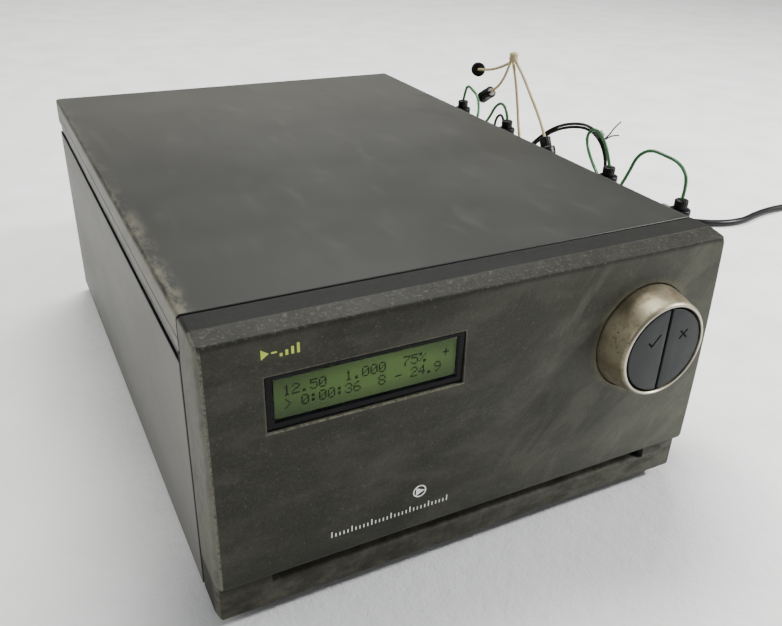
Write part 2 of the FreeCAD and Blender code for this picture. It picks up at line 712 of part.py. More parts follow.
# each outlet tube, from the finger nut on its head to a port of its manifold
OUTLET_ROUTES = [
    # the front head: a wide arch
    [(150, 48.55, 138.8), (150.1, 47.8, 146), (150, 49.5, 153.2), (150, 56.5, 157.6), (149.6, 66.5, 158.3),
     (148.4, 76.5, 158.8), (146.6, 83.8, 153), (145, 86.2, 143), (141.2, 87.7, 133.6), (137, 87.5, 128)],
    # the second head: over and forward
    [(150, 107.95, 138.8), (150, 110.6, 145), (150, 115.4, 152.4), (148.6, 122.8, 158.6), (146.8, 128.2, 154),
     (145.8, 125.6, 147), (144, 117, 139.4), (140.4, 104, 133.6), (137, 97, 128)],
    # the third head: short and steep
    [(150, 216.6, 138.8), (150, 217.8, 144.6), (149.2, 223.6, 150), (147.4, 229.2, 146),
     (145.2, 231.2, 138.6), (140.6, 231.6, 132.6), (137, 231, 128)],
    # the rear head: up, a sharp crown, then a long slope down
    [(150, 276.0, 138.8), (150, 274.2, 145), (149.8, 271, 151.8), (148.6, 260, 149.4), (146.4, 250.6, 147.4),
     (143.4, 243.4, 140), (139.8, 240.4, 133), (137, 239, 128)],
]
# four stiff tubes meet in a small sleeve high above the heads: two stand in the pressure cell's ports
# and two hang free
TUBE_JUNCTION = (152.0, 219.2, 178.6)
CELL_ROUTES = [
    [(150.8, 217.8, 178.6), (151.6, 214.2, 169), (151.2, 208.8, 154), (150, 203.6, 140.5),
     (148.8, 196.6, 126), (148.2, 191.2, 117.4), (148, 190.5, 112)],
    [(153, 217.5, 178.6), (152.8, 208.8, 172.6), (151.8, 195.4, 161), (151.2, 182, 149),
     (150.3, 172.6, 138.2), (150, 169.95, 133.13)],
]
LOW_TUBE = [
    (151, 220.6, 178.6), (152.6, 225.4, 172), (155, 232.6, 164.2), (158, 243.2, 155.6), (156.6, 249.4, 151),
]
HIGH_TUBE = [
    (153, 220.9, 178.6), (153.2, 227.8, 174.8), (153.4, 238.6, 170.2), (153.5, 250.4, 166.4),
    (153.5, 261.4, 164.6),
]
# a springy twin cable that stands out between two glands in the side
SENSOR_ROUTE = [
    (131.5, 199.8, 113), (143, 199.8, 113), (153.4, 200.8, 117.4), (161, 200.4, 124.4), (166, 195, 132.2),
    (168.6, 186.6, 139), (171, 175, 144.4), (174.6, 161.6, 147), (177.6, 152, 142.6), (181, 147.4, 132.4),
    (182.2, 145.6, 120), (177, 144, 107.6), (166, 142.2, 97), (149, 140.6, 91), (131.5, 140.6, 91),
]


def shifted(points, step):
    return [tuple(a + b for a, b in zip(point, step)) for point in points]


def make_tubing():
    """Stiff capillaries held in their fittings, and the two that end in hanging nuts."""
    radius = size("tube_radius")
    greens = [tube(f"outlet tube {i}", route, radius) for i, route in enumerate(OUTLET_ROUTES, start=1)]
    node("outlet_tubes", shaped(Part.Compound(greens)))
    beiges = [tube(f"cell tube {i}", route, radius) for i, route in enumerate(CELL_ROUTES, start=1)]
    node("cell_tubes", shaped(Part.Compound(beiges)))
    x, y, z = TUBE_JUNCTION
    sleeve = rod("z", (f"{x}", f"{y}", f"{z}"), "6", "3.1")
    node("tube_junction", sleeve)
    node("low_tube", shaped(tube("low tube", LOW_TUBE, radius)))
    node("high_tube", shaped(tube("high tube", HIGH_TUBE, radius)))
    node("loose_nuts", group([hanging_nut(LOW_TUBE, 8.5, 2.9), hanging_nut(HIGH_TUBE, 9.5, 4.6)]))
    strands = [tube(f"sensor strand {i}", shifted(SENSOR_ROUTE, (0, 0, dz)), 1.0)
               for i, dz in enumerate((-1.1, 1.1), start=1)]
    node("sensor_cable", shaped(Part.Compound(strands)))
    glands = [rod("x", ("case_width / 2", f"{SENSOR_ROUTE[i][1]}", f"{SENSOR_ROUTE[i][2]}"), "1.5", "4.4")
              for i in (0, -1)]
    node("cable_glands", group(glands))


def hanging_nut(route, length, radius):
    """A finger nut on the end of a tube, in line with the tube's last run."""
    end, before = Vector(*route[-1]), Vector(*route[-2])
    way = (end - before).normalize()
    barrel = Part.makeCylinder(radius, length, end, way)
    tip = Part.makeCone(radius * 0.55, radius * 0.3, 3, end + way * length, way)
    return shaped(barrel.fuse(tip).removeSplitter())


# ---------------------------------------------------------------- mains lead

# the middle of the lead where it lies on the floor
FLOOR = -3.5
LEAD_ROUTE = [
    (150, 379, 36), (171, 379, 36), (191, 379.7, 31), (208, 380.8, 17.4), (228, 381.4, 3.2),
    (250, 379.6, FLOOR), (286, 371, FLOOR), (322, 351, FLOOR), (355, 328, FLOOR), (386, 304, FLOOR),
    (417, 284, FLOOR), (447, 263, FLOOR), (476, 259, FLOOR), (508, 268.5, FLOOR), (540, 271.5, FLOOR),
    (572, 268, FLOOR), (603, 252, FLOOR), (618, 222, FLOOR), (608, 190, FLOOR), (577, 172, FLOOR),
    (533, 167, FLOOR), (485, 170, FLOOR),
]
COIL_CENTRE = (485.0, 125.0)
COIL_INNER = 27.5
COIL_OUTER = 48.5
COIL_TOP = 7.1
PLUG_RADIUS = 18.6
PLUG_RISE = 11.6
TAIL_ROUTE = [
    (440, 125, 3.4), (440, 103, 3.6), (441.6, 81, 0.2), (448.6, 60, FLOOR), (464, 45.6, FLOOR),
    (485, 38.6, 1.2), (504.5, 37, 8.2), (524, 37, PLUG_RISE),
]


def make_mains_lead():
    """The appliance connector in its inlet, the lead on the floor, its coiled slack and the plug."""
    face = "rear_plane + sheet"
    start, end = LEAD_ROUTE[0], TAIL_ROUTE[-1]
    nose = box(("inlet_x - 11.9", "inlet_x + 11.9"), (f"{face} - 14", f"{face} + 2.6"),
               ("inlet_z - 7.9", "inlet_z + 7.9"))
    slits = [box((f"inlet_x + {x} - 1.2", f"inlet_x + {x} + 1.2"), (f"{face} - 17", f"{face} - 2.8"),
                 (f"inlet_z + {z} - 2.2", f"inlet_z + {z} + 2.2")) for x, z in INLET_PINS]
    grip = box(("inlet_x - 13.5", "inlet_x + 24"), (f"{face} + 2.6", f"{face} + 26"),
               ("inlet_z - 9.5", "inlet_z + 9.5"))
    grip = soften(grip, 4.0, along("z"))
    relief = cone("x", ("inlet_x + 24", f"{start[1]}", "inlet_z"), f"{start[0]} - inlet_x - 24", "6.4", "4.6")
    node("lead_connector", cut(fuse(nose, grip, relief), *slits))
    radius = size("lead_radius")
    node("mains_lead", shaped(tube("mains lead", LEAD_ROUTE, radius)))
    x, y = COIL_CENTRE
    ring = rod("z", (f"{x}", f"{y}", "-foot_height"), f"foot_height + {COIL_TOP}", f"{COIL_OUTER}")
    hole = rod("z", (f"{x}", f"{y}", "-foot_height - 1"), "30", f"{COIL_INNER}")
    node("mains_coil", cut(ring, hole))
    node("mains_tail", shaped(tube("mains tail", TAIL_ROUTE, radius)))
    plug = turned("plug_profile", [
        ("0", "0"), ("0", "4.6"), ("26", "6.4"), ("30", "13"), ("40", f"{PLUG_RADIUS}"),
        ("62", f"{PLUG_RADIUS}"), ("63.5", "17.4"), ("63.5", "0"),
    ], "x", ("0", "0", "0"))
    pins = [rod("x", ("63.5", f"{side} * 9.5", "0"), "19", "2.4") for side in (-1, 1)]
    node("mains_plug", place(fuse(plug, *pins), f"{end[0]}", f"{end[1]}", f"{end[2]}"))


# ---------------------------------------------------------------- build, check and write

make_base_tray()
make_frame_rails()
make_top_cover()
make_right_panel()
make_rear_panel()
make_feet()
make_front_panel()
make_display()
make_knob()
make_electronics()
make_drives()
make_pump_heads()
make_fittings()
make_manifolds()
make_tubing()
make_mains_lead()
doc.recompute()

for thing in doc.Objects:
    if {"Invalid", "Error"} & set(thing.State):
        raise RuntimeError(f"{thing.Name} ({thing.Label}) did not build: {thing.State}")
for label, thing in nodes.items():
    if thing.Shape.isNull() or not thing.Shape.isValid() or thing.Shape.Volume <= 0:
        raise RuntimeError(f"{label} has no valid solid")

os.makedirs("parts", exist_ok=True)
for label, thing in nodes.items():
    thing.Shape.exportStep(f"parts/{label}.step")
print(len(nodes), "nodes written")
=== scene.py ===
import json
import math

import bmesh
import bpy
from mathutils import Matrix, Vector


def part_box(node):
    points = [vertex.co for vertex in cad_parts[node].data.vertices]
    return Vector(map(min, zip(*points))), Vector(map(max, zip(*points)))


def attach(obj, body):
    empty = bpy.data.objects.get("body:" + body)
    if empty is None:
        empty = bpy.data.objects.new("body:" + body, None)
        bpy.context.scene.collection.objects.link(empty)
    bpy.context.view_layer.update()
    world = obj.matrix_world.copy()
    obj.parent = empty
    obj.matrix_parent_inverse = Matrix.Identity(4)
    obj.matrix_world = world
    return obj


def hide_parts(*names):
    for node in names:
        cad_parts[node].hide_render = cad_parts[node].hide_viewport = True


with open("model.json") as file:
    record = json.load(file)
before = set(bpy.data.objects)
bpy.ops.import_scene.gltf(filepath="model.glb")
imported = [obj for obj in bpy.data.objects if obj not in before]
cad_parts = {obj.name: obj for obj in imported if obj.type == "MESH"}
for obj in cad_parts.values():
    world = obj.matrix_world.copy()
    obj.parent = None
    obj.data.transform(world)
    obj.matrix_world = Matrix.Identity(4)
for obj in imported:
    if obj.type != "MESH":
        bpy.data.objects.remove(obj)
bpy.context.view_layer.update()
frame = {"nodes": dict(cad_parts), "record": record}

# Shapes are drawn in the case's own frame: X across the case from its middle, Y back from the chin of
# the front panel, Z up from the case's underside. The base tray's lowest corner says where that is.
MM = 0.001
tray_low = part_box("base_tray")[0]
CASE = Vector((tray_low.x + 130 * MM, tray_low.y - 26 * MM, tray_low.z))
FLOOR_Z = CASE.z - 7 * MM

# places on the front panel, in the case's frame in millimetres
KNOB_X, KNOB_Z = 84.3, 96.9
WINDOW_X, WINDOW_Z = (-105.1, -16.5), (97.0, 122.5)


def spot(x, y, z):
    """A point given in the case's frame in millimetres, in the row's frame in metres."""
    return CASE + Vector((x, y, z)) * MM


KNOB = spot(KNOB_X, 0, KNOB_Z)


def placed(route):
    """A route given in the case's frame in millimetres, in the row's frame in metres."""
    return [spot(*point) for point in route]


# ---------------------------------------------------------------- camera


def add(name, data):
    """A new object in the scene."""
    made = bpy.data.objects.new(name, data)
    bpy.context.collection.objects.link(made)
    return made


def make_camera():
    data = bpy.data.cameras.new("camera")
    data.lens = 37.343
    data.sensor_width = 36
    data.clip_start = 0.02
    camera = add("camera", data)
    across = Vector((0.891948, -0.451077, 0.030966))
    up = Vector((0.191629, 0.439176, 0.877726))
    back = Vector((-0.409522, -0.776951, 0.478162))
    turned = Matrix((across, up, back)).transposed().to_4x4()
    camera.matrix_world = Matrix.Translation((-0.20922, -0.42365, 0.29693)) @ turned
    bpy.context.scene.camera = camera


make_camera()


# ---------------------------------------------------------------- materials


def rgb(red, green, blue):
    """A colour from 0-255 display values, in the linear values that a shader takes."""
    parts = [v / 255 for v in (red, green, blue)]
    return tuple(p / 12.92 if p <= 0.04045 else ((p + 0.055) / 1.055) ** 2.4 for p in parts) + (1.0,)


finishes = {}


class Paint:
    """One procedural material, entered in finishes. Each method adds a node and returns its output."""

    def __init__(self, name):
        self.material = bpy.data.materials.new(name)
        finishes[name] = self.material
        self.material.use_nodes = True
        self.tree = self.material.node_tree
        self.shader = self.tree.nodes["Principled BSDF"]
        row = self.node("ShaderNodeTexCoord").outputs["Object"]
        moved = self.node("ShaderNodeVectorMath", operation="SUBTRACT")
        self.feed(moved.inputs[0], row)
        self.feed(moved.inputs[1], CASE)
        scaled = self.node("ShaderNodeVectorMath", operation="SCALE")
        self.feed(scaled.inputs[0], moved.outputs[0])
        self.feed(scaled.inputs["Scale"], 1000.0)
        self.place = scaled.outputs[0]
        split = self.node("ShaderNodeSeparateXYZ")
        self.feed(split.inputs[0], self.place)
        self.x, self.y, self.z = split.outputs

    def node(self, kind, **settings):
        made = self.tree.nodes.new(kind)
        for key, value in settings.items():
            setattr(made, key, value)
        return made

    def feed(self, socket, value):
        if isinstance(value, bpy.types.NodeSocket):
            self.tree.links.new(value, socket)
        else:
            socket.default_value = value

    def set(self, **sockets):
        for name, value in sockets.items():
            self.feed(self.shader.inputs[name.replace("_", " ")], value)
        return self

    def math(self, operation, first, second=0.0):
        made = self.node("ShaderNodeMath", operation=operation)
        for socket, value in zip(made.inputs, (first, second)):
            self.feed(socket, value)
        return made.outputs[0]

    def times(self, first, second):
        return self.math("MULTIPLY", first, second)

    def plus(self, first, second):
        return self.math("ADD", first, second)

    def less(self, first, second):
        return self.math("SUBTRACT", first, second)

    def noise(self, size, detail, roughness, stretch=(1, 1, 1), distortion=0.0, tilt=0.0):
        """Noise from 0 to 1 whose features are about size millimetres across, tilted in degrees about Y."""
        place = self.place
        if tilt:
            turned = self.node("ShaderNodeVectorRotate", rotation_type="Y_AXIS")
            self.feed(turned.inputs["Vector"], place)
            self.feed(turned.inputs["Angle"], math.radians(tilt))
            place = turned.outputs[0]
        if stretch != (1, 1, 1):
            made = self.node("ShaderNodeVectorMath", operation="MULTIPLY")
            self.feed(made.inputs[0], place)
            self.feed(made.inputs[1], stretch)
            place = made.outputs[0]
        made = self.node("ShaderNodeTexNoise")
        self.feed(made.inputs["Vector"], place)
        self.feed(made.inputs["Scale"], 1.0 / size)
        self.feed(made.inputs["Detail"], detail)
        self.feed(made.inputs["Roughness"], roughness)
        self.feed(made.inputs["Distortion"], distortion)
        return made.outputs[0]

    def step(self, value, start, end, low=0.0, high=1.0):
        """Low before start, high after end, and a smooth change between them."""
        made = self.node("ShaderNodeMapRange", interpolation_type="SMOOTHSTEP")
        sockets = ("Value", "From Min", "From Max", "To Min", "To Max")
        for name, number in zip(sockets, (value, start, end, low, high)):
            self.feed(made.inputs[name], number)
        return made.outputs[0]

    def mix(self, share, first, second):
        made = self.node("ShaderNodeMix", data_type="RGBA")
        for socket, value in zip((made.inputs[0], made.inputs[6], made.inputs[7]), (share, first, second)):
            self.feed(socket, value)
        return made.outputs[2]

    def over(self, base, colour, share, amount=None):
        """A flat colour laid over base where share is 1, at most as thick as amount."""
        return self.mix(share if amount is None else self.times(share, amount), base, rgb(*colour))

    def bump(self, height, depth, strength=1.0, over=None):
        """Depth is in millimetres for a height of 1."""
        made = self.node("ShaderNodeBump")
        self.feed(made.inputs["Height"], height)
        self.feed(made.inputs["Distance"], depth * MM)
        self.feed(made.inputs["Strength"], strength)
        if over is not None:
            self.feed(made.inputs["Normal"], over)
        return made.outputs[0]


def coat(name, dark, light, rough, metal=0.0, cloud=30.0, grain=0.6, depth=0.02, stretch=(1, 1, 1),
         **constants):
    """A plain finish: two close colours in soft clouds, uneven gloss and a fine grain."""
    paint = Paint(name)
    clouds = paint.noise(cloud, 5, 0.6)
    fine = paint.noise(grain, 3, 0.6, stretch)
    share = paint.step(paint.plus(clouds, paint.times(fine, 0.35)), 0.4, 0.95)
    paint.set(
        Base_Color=paint.mix(share, rgb(*dark), rgb(*light)),
        Roughness=paint.step(clouds, 0.3, 0.7, rough - 0.08, rough + 0.08),
        Metallic=metal,
        Normal=paint.bump(fine, depth),
        **constants,
    )


def cover_paint():
    """Satin structured enamel, a little hazy, rubbed paler along the folds, with painted sheen towards the
    rear, painted light on the side flanges and a painted shade line along the front edge.
    """
    paint = Paint("cover_paint")
    haze = paint.noise(90, 5, 0.6)
    fine = paint.noise(0.7, 2, 0.6)
    rubbed = paint.step(paint.noise(14, 6, 0.7, (1, 0.3, 1)), 0.52, 0.75)
    base = paint.mix(paint.step(haze, 0.3, 0.7), rgb(38, 38, 34), rgb(45, 45, 41))
    base = paint.over(base, (96, 95, 87), rubbed, 0.12)
    # painted sheen: paler towards the rear, in place of the reflection of the bright surroundings behind the
    # case
    base = paint.over(base, (96, 95, 88), paint.step(paint.y, 90, 367, 0.0, 0.32))
    edge = paint.math("ABSOLUTE", paint.x)
    ragged = paint.step(paint.noise(5, 6, 0.75, (1, 0.4, 1)), 0.4, 0.62)
    fold = paint.times(paint.step(edge, 126.8, 128.8), ragged)
    base = paint.over(base, (112, 110, 97), fold, 0.3)
    # painted light: the side flanges are painted paler than the top of the same sheet, as if lit from the
    # side
    flange_painted_light = paint.step(edge, 129.2, 129.9)
    base = paint.over(base, (100, 98, 90), flange_painted_light, 0.7)
    chips = paint.step(paint.noise(9, 7, 0.78, (1, 0.35, 1)), 0.44, 0.62)
    border = paint.times(paint.step(paint.x, -119.5, -128.5), paint.step(paint.y, 260.0, 60.0, 0.25, 1.0))
    border = paint.times(border, chips)
    base = paint.over(base, (118, 114, 97), border, 0.55)
    # painted shade: a black line along the front edge, where the gap to the front moulding falls in shadow
    base = paint.over(base, (10, 10, 8), paint.step(paint.y, 23.4, 23.0))
    rough = paint.plus(paint.step(haze, 0.3, 0.7, 0.46, 0.54), paint.times(rubbed, 0.06))
    paint.set(Base_Color=base, Roughness=rough, Specular_IOR_Level=0.26, Normal=paint.bump(fine, 0.035))


def side_paint():
    """The same enamel as the cover on the sides, painted paler as painted light, with a dusting that
    thickens upward.
    """
    paint = Paint("side_paint")
    haze = paint.noise(60, 5, 0.62, (1, 0.5, 1.2))
    fine = paint.noise(0.8, 2, 0.6)
    # painted light: paler base colours than the cover's enamel, for the brighter-lit sides
    base = paint.mix(paint.step(haze, 0.32, 0.7), rgb(80, 79, 74), rgb(89, 88, 82))
    pale_haze = paint.times(paint.step(paint.z, 20, 118), paint.step(haze, 0.3, 0.62))
    base = paint.over(base, (102, 99, 91), pale_haze, 0.5)
    # painted shade: a black line along the top edge of the left side, where the gap under the cover falls in
    # shadow
    top_gap_shade = paint.times(paint.step(paint.z, 118.5, 119.0), paint.step(paint.x, -128.0, -128.6))
    base = paint.over(base, (10, 10, 9), top_gap_shade)
    paint.set(
        Base_Color=base,
        Roughness=paint.step(haze, 0.3, 0.7, 0.48, 0.62),
        Normal=paint.bump(fine, 0.04),
    )


def front_moulding():
    """Dark olive moulding: paler to the right with a dusting and painted light, painted highlights on the
    upright edges and wear round the window, a grimy chin with painted shade in its slot.
    """
    paint = Paint("front_moulding")
    cloud = paint.noise(55, 4, 0.5)
    wipe = paint.noise(26, 5, 0.6, (0.7, 1, 1.6))
    blotch = paint.noise(11, 6, 0.7)
    fine = paint.noise(0.75, 4, 0.75)
    speck = paint.noise(2.2, 3, 0.6)
    base = paint.mix(paint.step(cloud, 0.3, 0.7), rgb(31, 31, 26), rgb(43, 43, 36))
    base = paint.over(base, (74, 73, 63), paint.step(fine, 0.46, 0.68), 0.2)
    grain = paint.noise(1.7, 5, 0.8)
    base = paint.over(base, (17, 17, 13), paint.step(grain, 0.42, 0.3, 0.0, 0.4))
    # a soft paler haze from the middle to the right, none at the left edge: partly a dusting, partly painted
    # light on the better-lit right of the face
    drift = paint.plus(paint.x, paint.times(wipe, 80.0))
    pale_haze = paint.times(paint.step(drift, -5.0, 190.0), paint.step(paint.z, 142.0, 70.0, 0.4, 1.0))
    pale_haze = paint.times(pale_haze, paint.step(speck, 0.1, 0.6, 0.72, 1.0))
    base = paint.over(base, (93, 94, 85), pale_haze, 0.62)
    base = paint.over(base, (112, 111, 98), paint.step(grain, 0.56, 0.72, 0.0, 0.3))
    smear = paint.times(paint.step(wipe, 0.42, 0.74), paint.step(fine, 0.2, 0.6, 0.5, 1.0))
    base = paint.over(base, (92, 92, 80), smear, 0.22)
    # wiped streaks round and below the knob
    streak = paint.noise(17, 6, 0.68, (0.3, 1, 1), 0.8, 48)
    streak = paint.times(paint.step(streak, 0.47, 0.66), paint.step(paint.x, -35.0, 75.0))
    base = paint.over(base, (118, 117, 103), streak, 0.2)
    # a pale ragged halo round the knob
    from_x = paint.less(paint.x, KNOB_X)
    from_z = paint.less(paint.z, KNOB_Z)
    reach = paint.math("SQRT", paint.plus(paint.times(from_x, from_x),
                                          paint.times(from_z, from_z)))
    reach = paint.plus(reach, paint.times(paint.noise(12, 5, 0.7), 9.0))
    halo = paint.times(paint.step(reach, 31.0, 36.5, 1.0, 0.0), paint.step(fine, 0.3, 0.6, 0.5, 1.0))
    base = paint.over(base, (116, 111, 90), halo, 0.45)
    # the dusty rim: the sloping band along the top, and the sides
    top_band = paint.times(paint.step(paint.z, 138.8, 139.8), paint.step(paint.y, 9.3, 7.7))
    ragged = paint.step(paint.noise(6, 6, 0.75), 0.34, 0.6)
    # painted shade: a dark line at the foot of the sloping band, where its edge falls in shadow
    crease_painted_shade = paint.times(paint.step(paint.z, 140.2, 139.5), paint.step(paint.z, 137.6, 139.3, 0.0, 0.6))
    base = paint.over(base, (24, 24, 19), crease_painted_shade)
    base = paint.mix(paint.times(top_band, 0.9), base, paint.mix(ragged, rgb(23, 23, 18), rgb(36, 36, 29)))
    base = paint.over(base, (96, 95, 82), paint.times(top_band, paint.step(grain, 0.52, 0.7, 0.0, 0.6)))
    wide = paint.math("ABSOLUTE", paint.x)
    sides = paint.times(paint.step(wide, 128.3, 128.9), paint.plus(paint.times(ragged, 0.4), 0.45))
    base = paint.over(base, (96, 95, 85), sides)
    # pale lines on the sharp edges: painted highlights along the upright front edges, and wear round the
    # window
    wear_and_highlight_breakup = paint.step(paint.noise(1.6, 6, 0.7), 0.3, 0.6)
    upright_edge_highlight = paint.times(paint.step(wide, 127.5, 128.0), paint.step(wide, 129.0, 128.5))
    upright_edge_highlight = paint.times(upright_edge_highlight, paint.step(paint.y, -1.0, -2.2))
    base = paint.over(base, (128, 126, 112), paint.times(upright_edge_highlight, wear_and_highlight_breakup), 0.55)
    window_x = paint.less(paint.math("ABSOLUTE", paint.plus(paint.x, 60.8)), 44.3)
    window_z = paint.less(paint.math("ABSOLUTE", paint.less(paint.z, 109.75)), 12.75)
    window = paint.step(paint.math("MAXIMUM", window_x, window_z), 0.75, 0.35)
    window = paint.times(window, paint.step(paint.y, -2.2, -2.9))
    window = paint.times(window, paint.step(paint.z, 98.0, 96.9, 0.35, 1.0))
    base = paint.over(base, (126, 125, 108), paint.times(window, wear_and_highlight_breakup), 0.6)
    # clean dark stripe that the cover's lip shades
    stripe = paint.times(paint.step(paint.z, 141.2, 141.7), paint.step(paint.y, 8.2, 9.4))
    shade = paint.mix(paint.step(grain, 0.4, 0.68), rgb(8, 8, 7), rgb(23, 23, 20))
    base = paint.mix(paint.times(stripe, 0.9), base, shade)
    # grimy patches on the chin, and painted shade that deepens into its slot
    low = paint.step(paint.z, 23, 20)
    film = paint.times(low, paint.step(blotch, 0.36, 0.66, 0.1, 0.45))
    base = paint.over(base, (88, 86, 75), film)
    grime_and_slot_shade = paint.times(low, paint.step(paint.noise(16, 6, 0.7, (1, 1, 2)), 0.4, 0.62))
    slot_painted_shade = paint.times(low, paint.step(paint.y, 1.5, 6.5, 0, 0.9))
    grime_and_slot_shade = paint.math("MAXIMUM", paint.times(grime_and_slot_shade, 0.6), slot_painted_shade)
    base = paint.over(base, (27, 26, 17), grime_and_slot_shade)
    rough = paint.plus(paint.step(cloud, 0.3, 0.7, 0.5, 0.6), paint.times(pale_haze, 0.08))
    coarse = paint.bump(speck, 0.05)
    relief = paint.bump(fine, 0.11, 1.0, coarse)
    paint.set(Base_Color=base, Roughness=rough, Specular_IOR_Level=0.16, Normal=relief)


def knob_metal():
    """Champagne metal with a painted highlight on the rim, and a few brown scuffs."""
    paint = Paint("knob_metal")
    cloud = paint.noise(11, 5, 0.65)
    fine = paint.noise(0.35, 2, 0.5)
    base = paint.mix(paint.step(cloud, 0.3, 0.7), rgb(124, 117, 96), rgb(150, 143, 121))
    stain = paint.times(paint.step(paint.noise(8, 6, 0.75, distortion=0.6), 0.46, 0.66), 0.6)
    base = paint.over(base, (112, 94, 68), stain)
    spots = paint.step(paint.noise(2.6, 4, 0.6), 0.63, 0.7)
    base = paint.over(base, (84, 54, 30), spots, 0.85)
    # painted highlight: the front of the rolled rim is painted brighter and glossier
    rim = paint.step(paint.y, -18.5, -19.0)
    base = paint.over(base, (200, 196, 184), rim, 0.6)
    rough = paint.plus(paint.step(cloud, 0.3, 0.7, 0.4, 0.52), paint.times(stain, 0.3))
    rough = paint.less(rough, paint.times(rim, 0.12))
    paint.set(Base_Color=base, Roughness=rough, Metallic=0.9, Normal=paint.bump(fine, 0.012))


def display_lit():
    """The lit liquid crystal: yellow-green, brighter towards its middle, with a faint dot raster."""
    paint = Paint("display_lit")
    middle = paint.step(paint.math("ABSOLUTE", paint.less(paint.z, 111.2)), 0.0, 10.5, 1.0, 0.0)
    wide = paint.step(paint.math("ABSOLUTE", paint.plus(paint.x, 56.0)), 5.0, 46.0, 1.0, 0.0)
    glow = paint.times(paint.plus(middle, 0.5), paint.plus(wide, 0.9))
    cloud = paint.noise(16, 3, 0.5)
    share = paint.times(paint.plus(glow, paint.times(cloud, 0.4)), 0.42)
    base = paint.mix(share, rgb(17, 29, 10), rgb(62, 86, 32))
    paint.set(
        Base_Color=base,
        Emission_Color=base,
        Emission_Strength=0.25,
        Roughness=0.35,
        Specular_IOR_Level=0.2,
    )


def display_dots():
    """The dark dots of the digits, a little uneven."""
    paint = Paint("display_dots")
    share = paint.noise(5, 3, 0.5)
    base = paint.mix(share, rgb(3, 8, 6), rgb(7, 15, 9))
    paint.set(Base_Color=base, Roughness=0.5, Specular_IOR_Level=0.1)


def window_clear():
    """A thin clear pane with smears that only show in its gloss."""
    paint = Paint("window_clear")
    smear = paint.noise(9, 5, 0.6, (1, 1, 2))
    base = paint.mix(smear, rgb(20, 24, 28), rgb(44, 50, 50))
    paint.set(
        Base_Color=base,
        Roughness=paint.step(smear, 0.35, 0.7, 0.08, 0.22),
        Alpha=0.05,
        IOR=1.49,
        Specular_IOR_Level=0.3,
    )


def capillary(name, dark, light):
    """Stiff polymer tube: slightly see-through, uneven along its length."""
    paint = Paint(name)
    cloud = paint.noise(9, 4, 0.6)
    fine = paint.noise(0.5, 2, 0.5)
    paint.set(
        Base_Color=paint.mix(cloud, rgb(*dark), rgb(*light)),
        Roughness=paint.step(cloud, 0.3, 0.7, 0.26, 0.4),
        Subsurface_Weight=0.15,
        Subsurface_Scale=0.001,
        Normal=paint.bump(fine, 0.008),
    )


def cable_black():
    """Soft plastic sheath with a faint bloom and rubbed streaks."""
    paint = Paint("cable_black")
    cloud = paint.noise(22, 5, 0.6)
    fine = paint.noise(0.9, 3, 0.6)
    base = paint.mix(paint.step(cloud, 0.3, 0.75), rgb(3, 3, 4), rgb(8, 8, 9))
    paint.set(
        Base_Color=base,
        Roughness=paint.step(cloud, 0.3, 0.7, 0.34, 0.5),
        Specular_IOR_Level=0.35,
        Normal=paint.bump(fine, 0.02),
    )


def circuit_board():
    """Green solder mask with paler traces that run along the board."""
    paint = Paint("circuit_board")
    run = paint.noise(2.4, 1, 0.3, (1, 0.12, 1))
    rise = paint.noise(2.4, 1, 0.3, (1, 1, 0.12))
    traces = paint.math("MAXIMUM", paint.step(run, 0.56, 0.6), paint.step(rise, 0.6, 0.64))
    base = paint.mix(traces, rgb(16, 62, 38), rgb(44, 112, 68))
    rough = paint.step(run, 0.3, 0.7, 0.28, 0.42)
    paint.set(Base_Color=base, Roughness=rough, Normal=paint.bump(traces, 0.03))


cover_paint()
side_paint()
front_moulding()
knob_metal()
display_lit()
display_dots()
window_clear()
cable_black()
circuit_board()
capillary("tube_green", (38, 92, 50), (72, 126, 76))
capillary("tube_beige", (182, 164, 118), (206, 190, 148))
coat("frame_metal", (26, 26, 25), (44, 44, 42), 0.55, cloud=20)
coat("foot_rubber", (22, 22, 22), (40, 40, 38), 0.75, grain=0.8, depth=0.05)
coat("bezel_black", (2, 2, 3), (4, 5, 7), 0.3, cloud=14, depth=0.008, Specular_IOR_Level=0.1)
coat("plated_frame", (150, 148, 140), (190, 188, 180), 0.35, cloud=12, metal=1.0)
coat("encoder_black", (18, 18, 19), (34, 34, 35), 0.5)
coat("button_grey", (25, 28, 30), (33, 36, 38), 0.46, cloud=16, grain=0.5, depth=0.02,
     Specular_IOR_Level=0.2)
coat("mark_dark", (3, 3, 4), (8, 8, 9), 0.7, grain=0.4, Specular_IOR_Level=0.08)
coat("mark_white", (196, 198, 192), (232, 233, 228), 0.5, cloud=3, grain=0.3, depth=0.01)
coat("mark_lime", (150, 166, 44), (178, 192, 66), 0.5, cloud=3, grain=0.3, depth=0.01)
coat("power_metal", (140, 142, 142), (176, 178, 178), 0.38, cloud=26, metal=1.0)
coat("inlet_black", (20, 20, 21), (34, 34, 35), 0.42, grain=0.5)
coat("socket_metal", (148, 146, 138), (186, 184, 176), 0.34, cloud=9, metal=1.0)
coat("motor_black", (24, 24, 25), (44, 44, 45), 0.48, grain=0.8, depth=0.03)
coat("drive_alloy", (150, 152, 154), (182, 184, 186), 0.4, cloud=20, stretch=(0.1, 1, 1), metal=1.0)
coat("screw_steel", (140, 140, 138), (188, 188, 186), 0.28, cloud=7, metal=1.0)
coat("piston_ceramic", (212, 208, 196), (232, 229, 220), 0.22, cloud=9, depth=0.004)
coat("rinse_white", (206, 204, 196), (226, 225, 218), 0.45, cloud=9)
coat("head_steel", (150, 150, 148), (196, 196, 193), 0.27, cloud=12, stretch=(0.08, 1, 1), metal=1.0)
coat("valve_black", (3, 3, 4), (7, 7, 8), 0.4, cloud=5, grain=0.4, depth=0.03, Specular_IOR_Level=0.25)
coat("manifold_beige", (176, 160, 122), (200, 186, 150), 0.44, cloud=12)
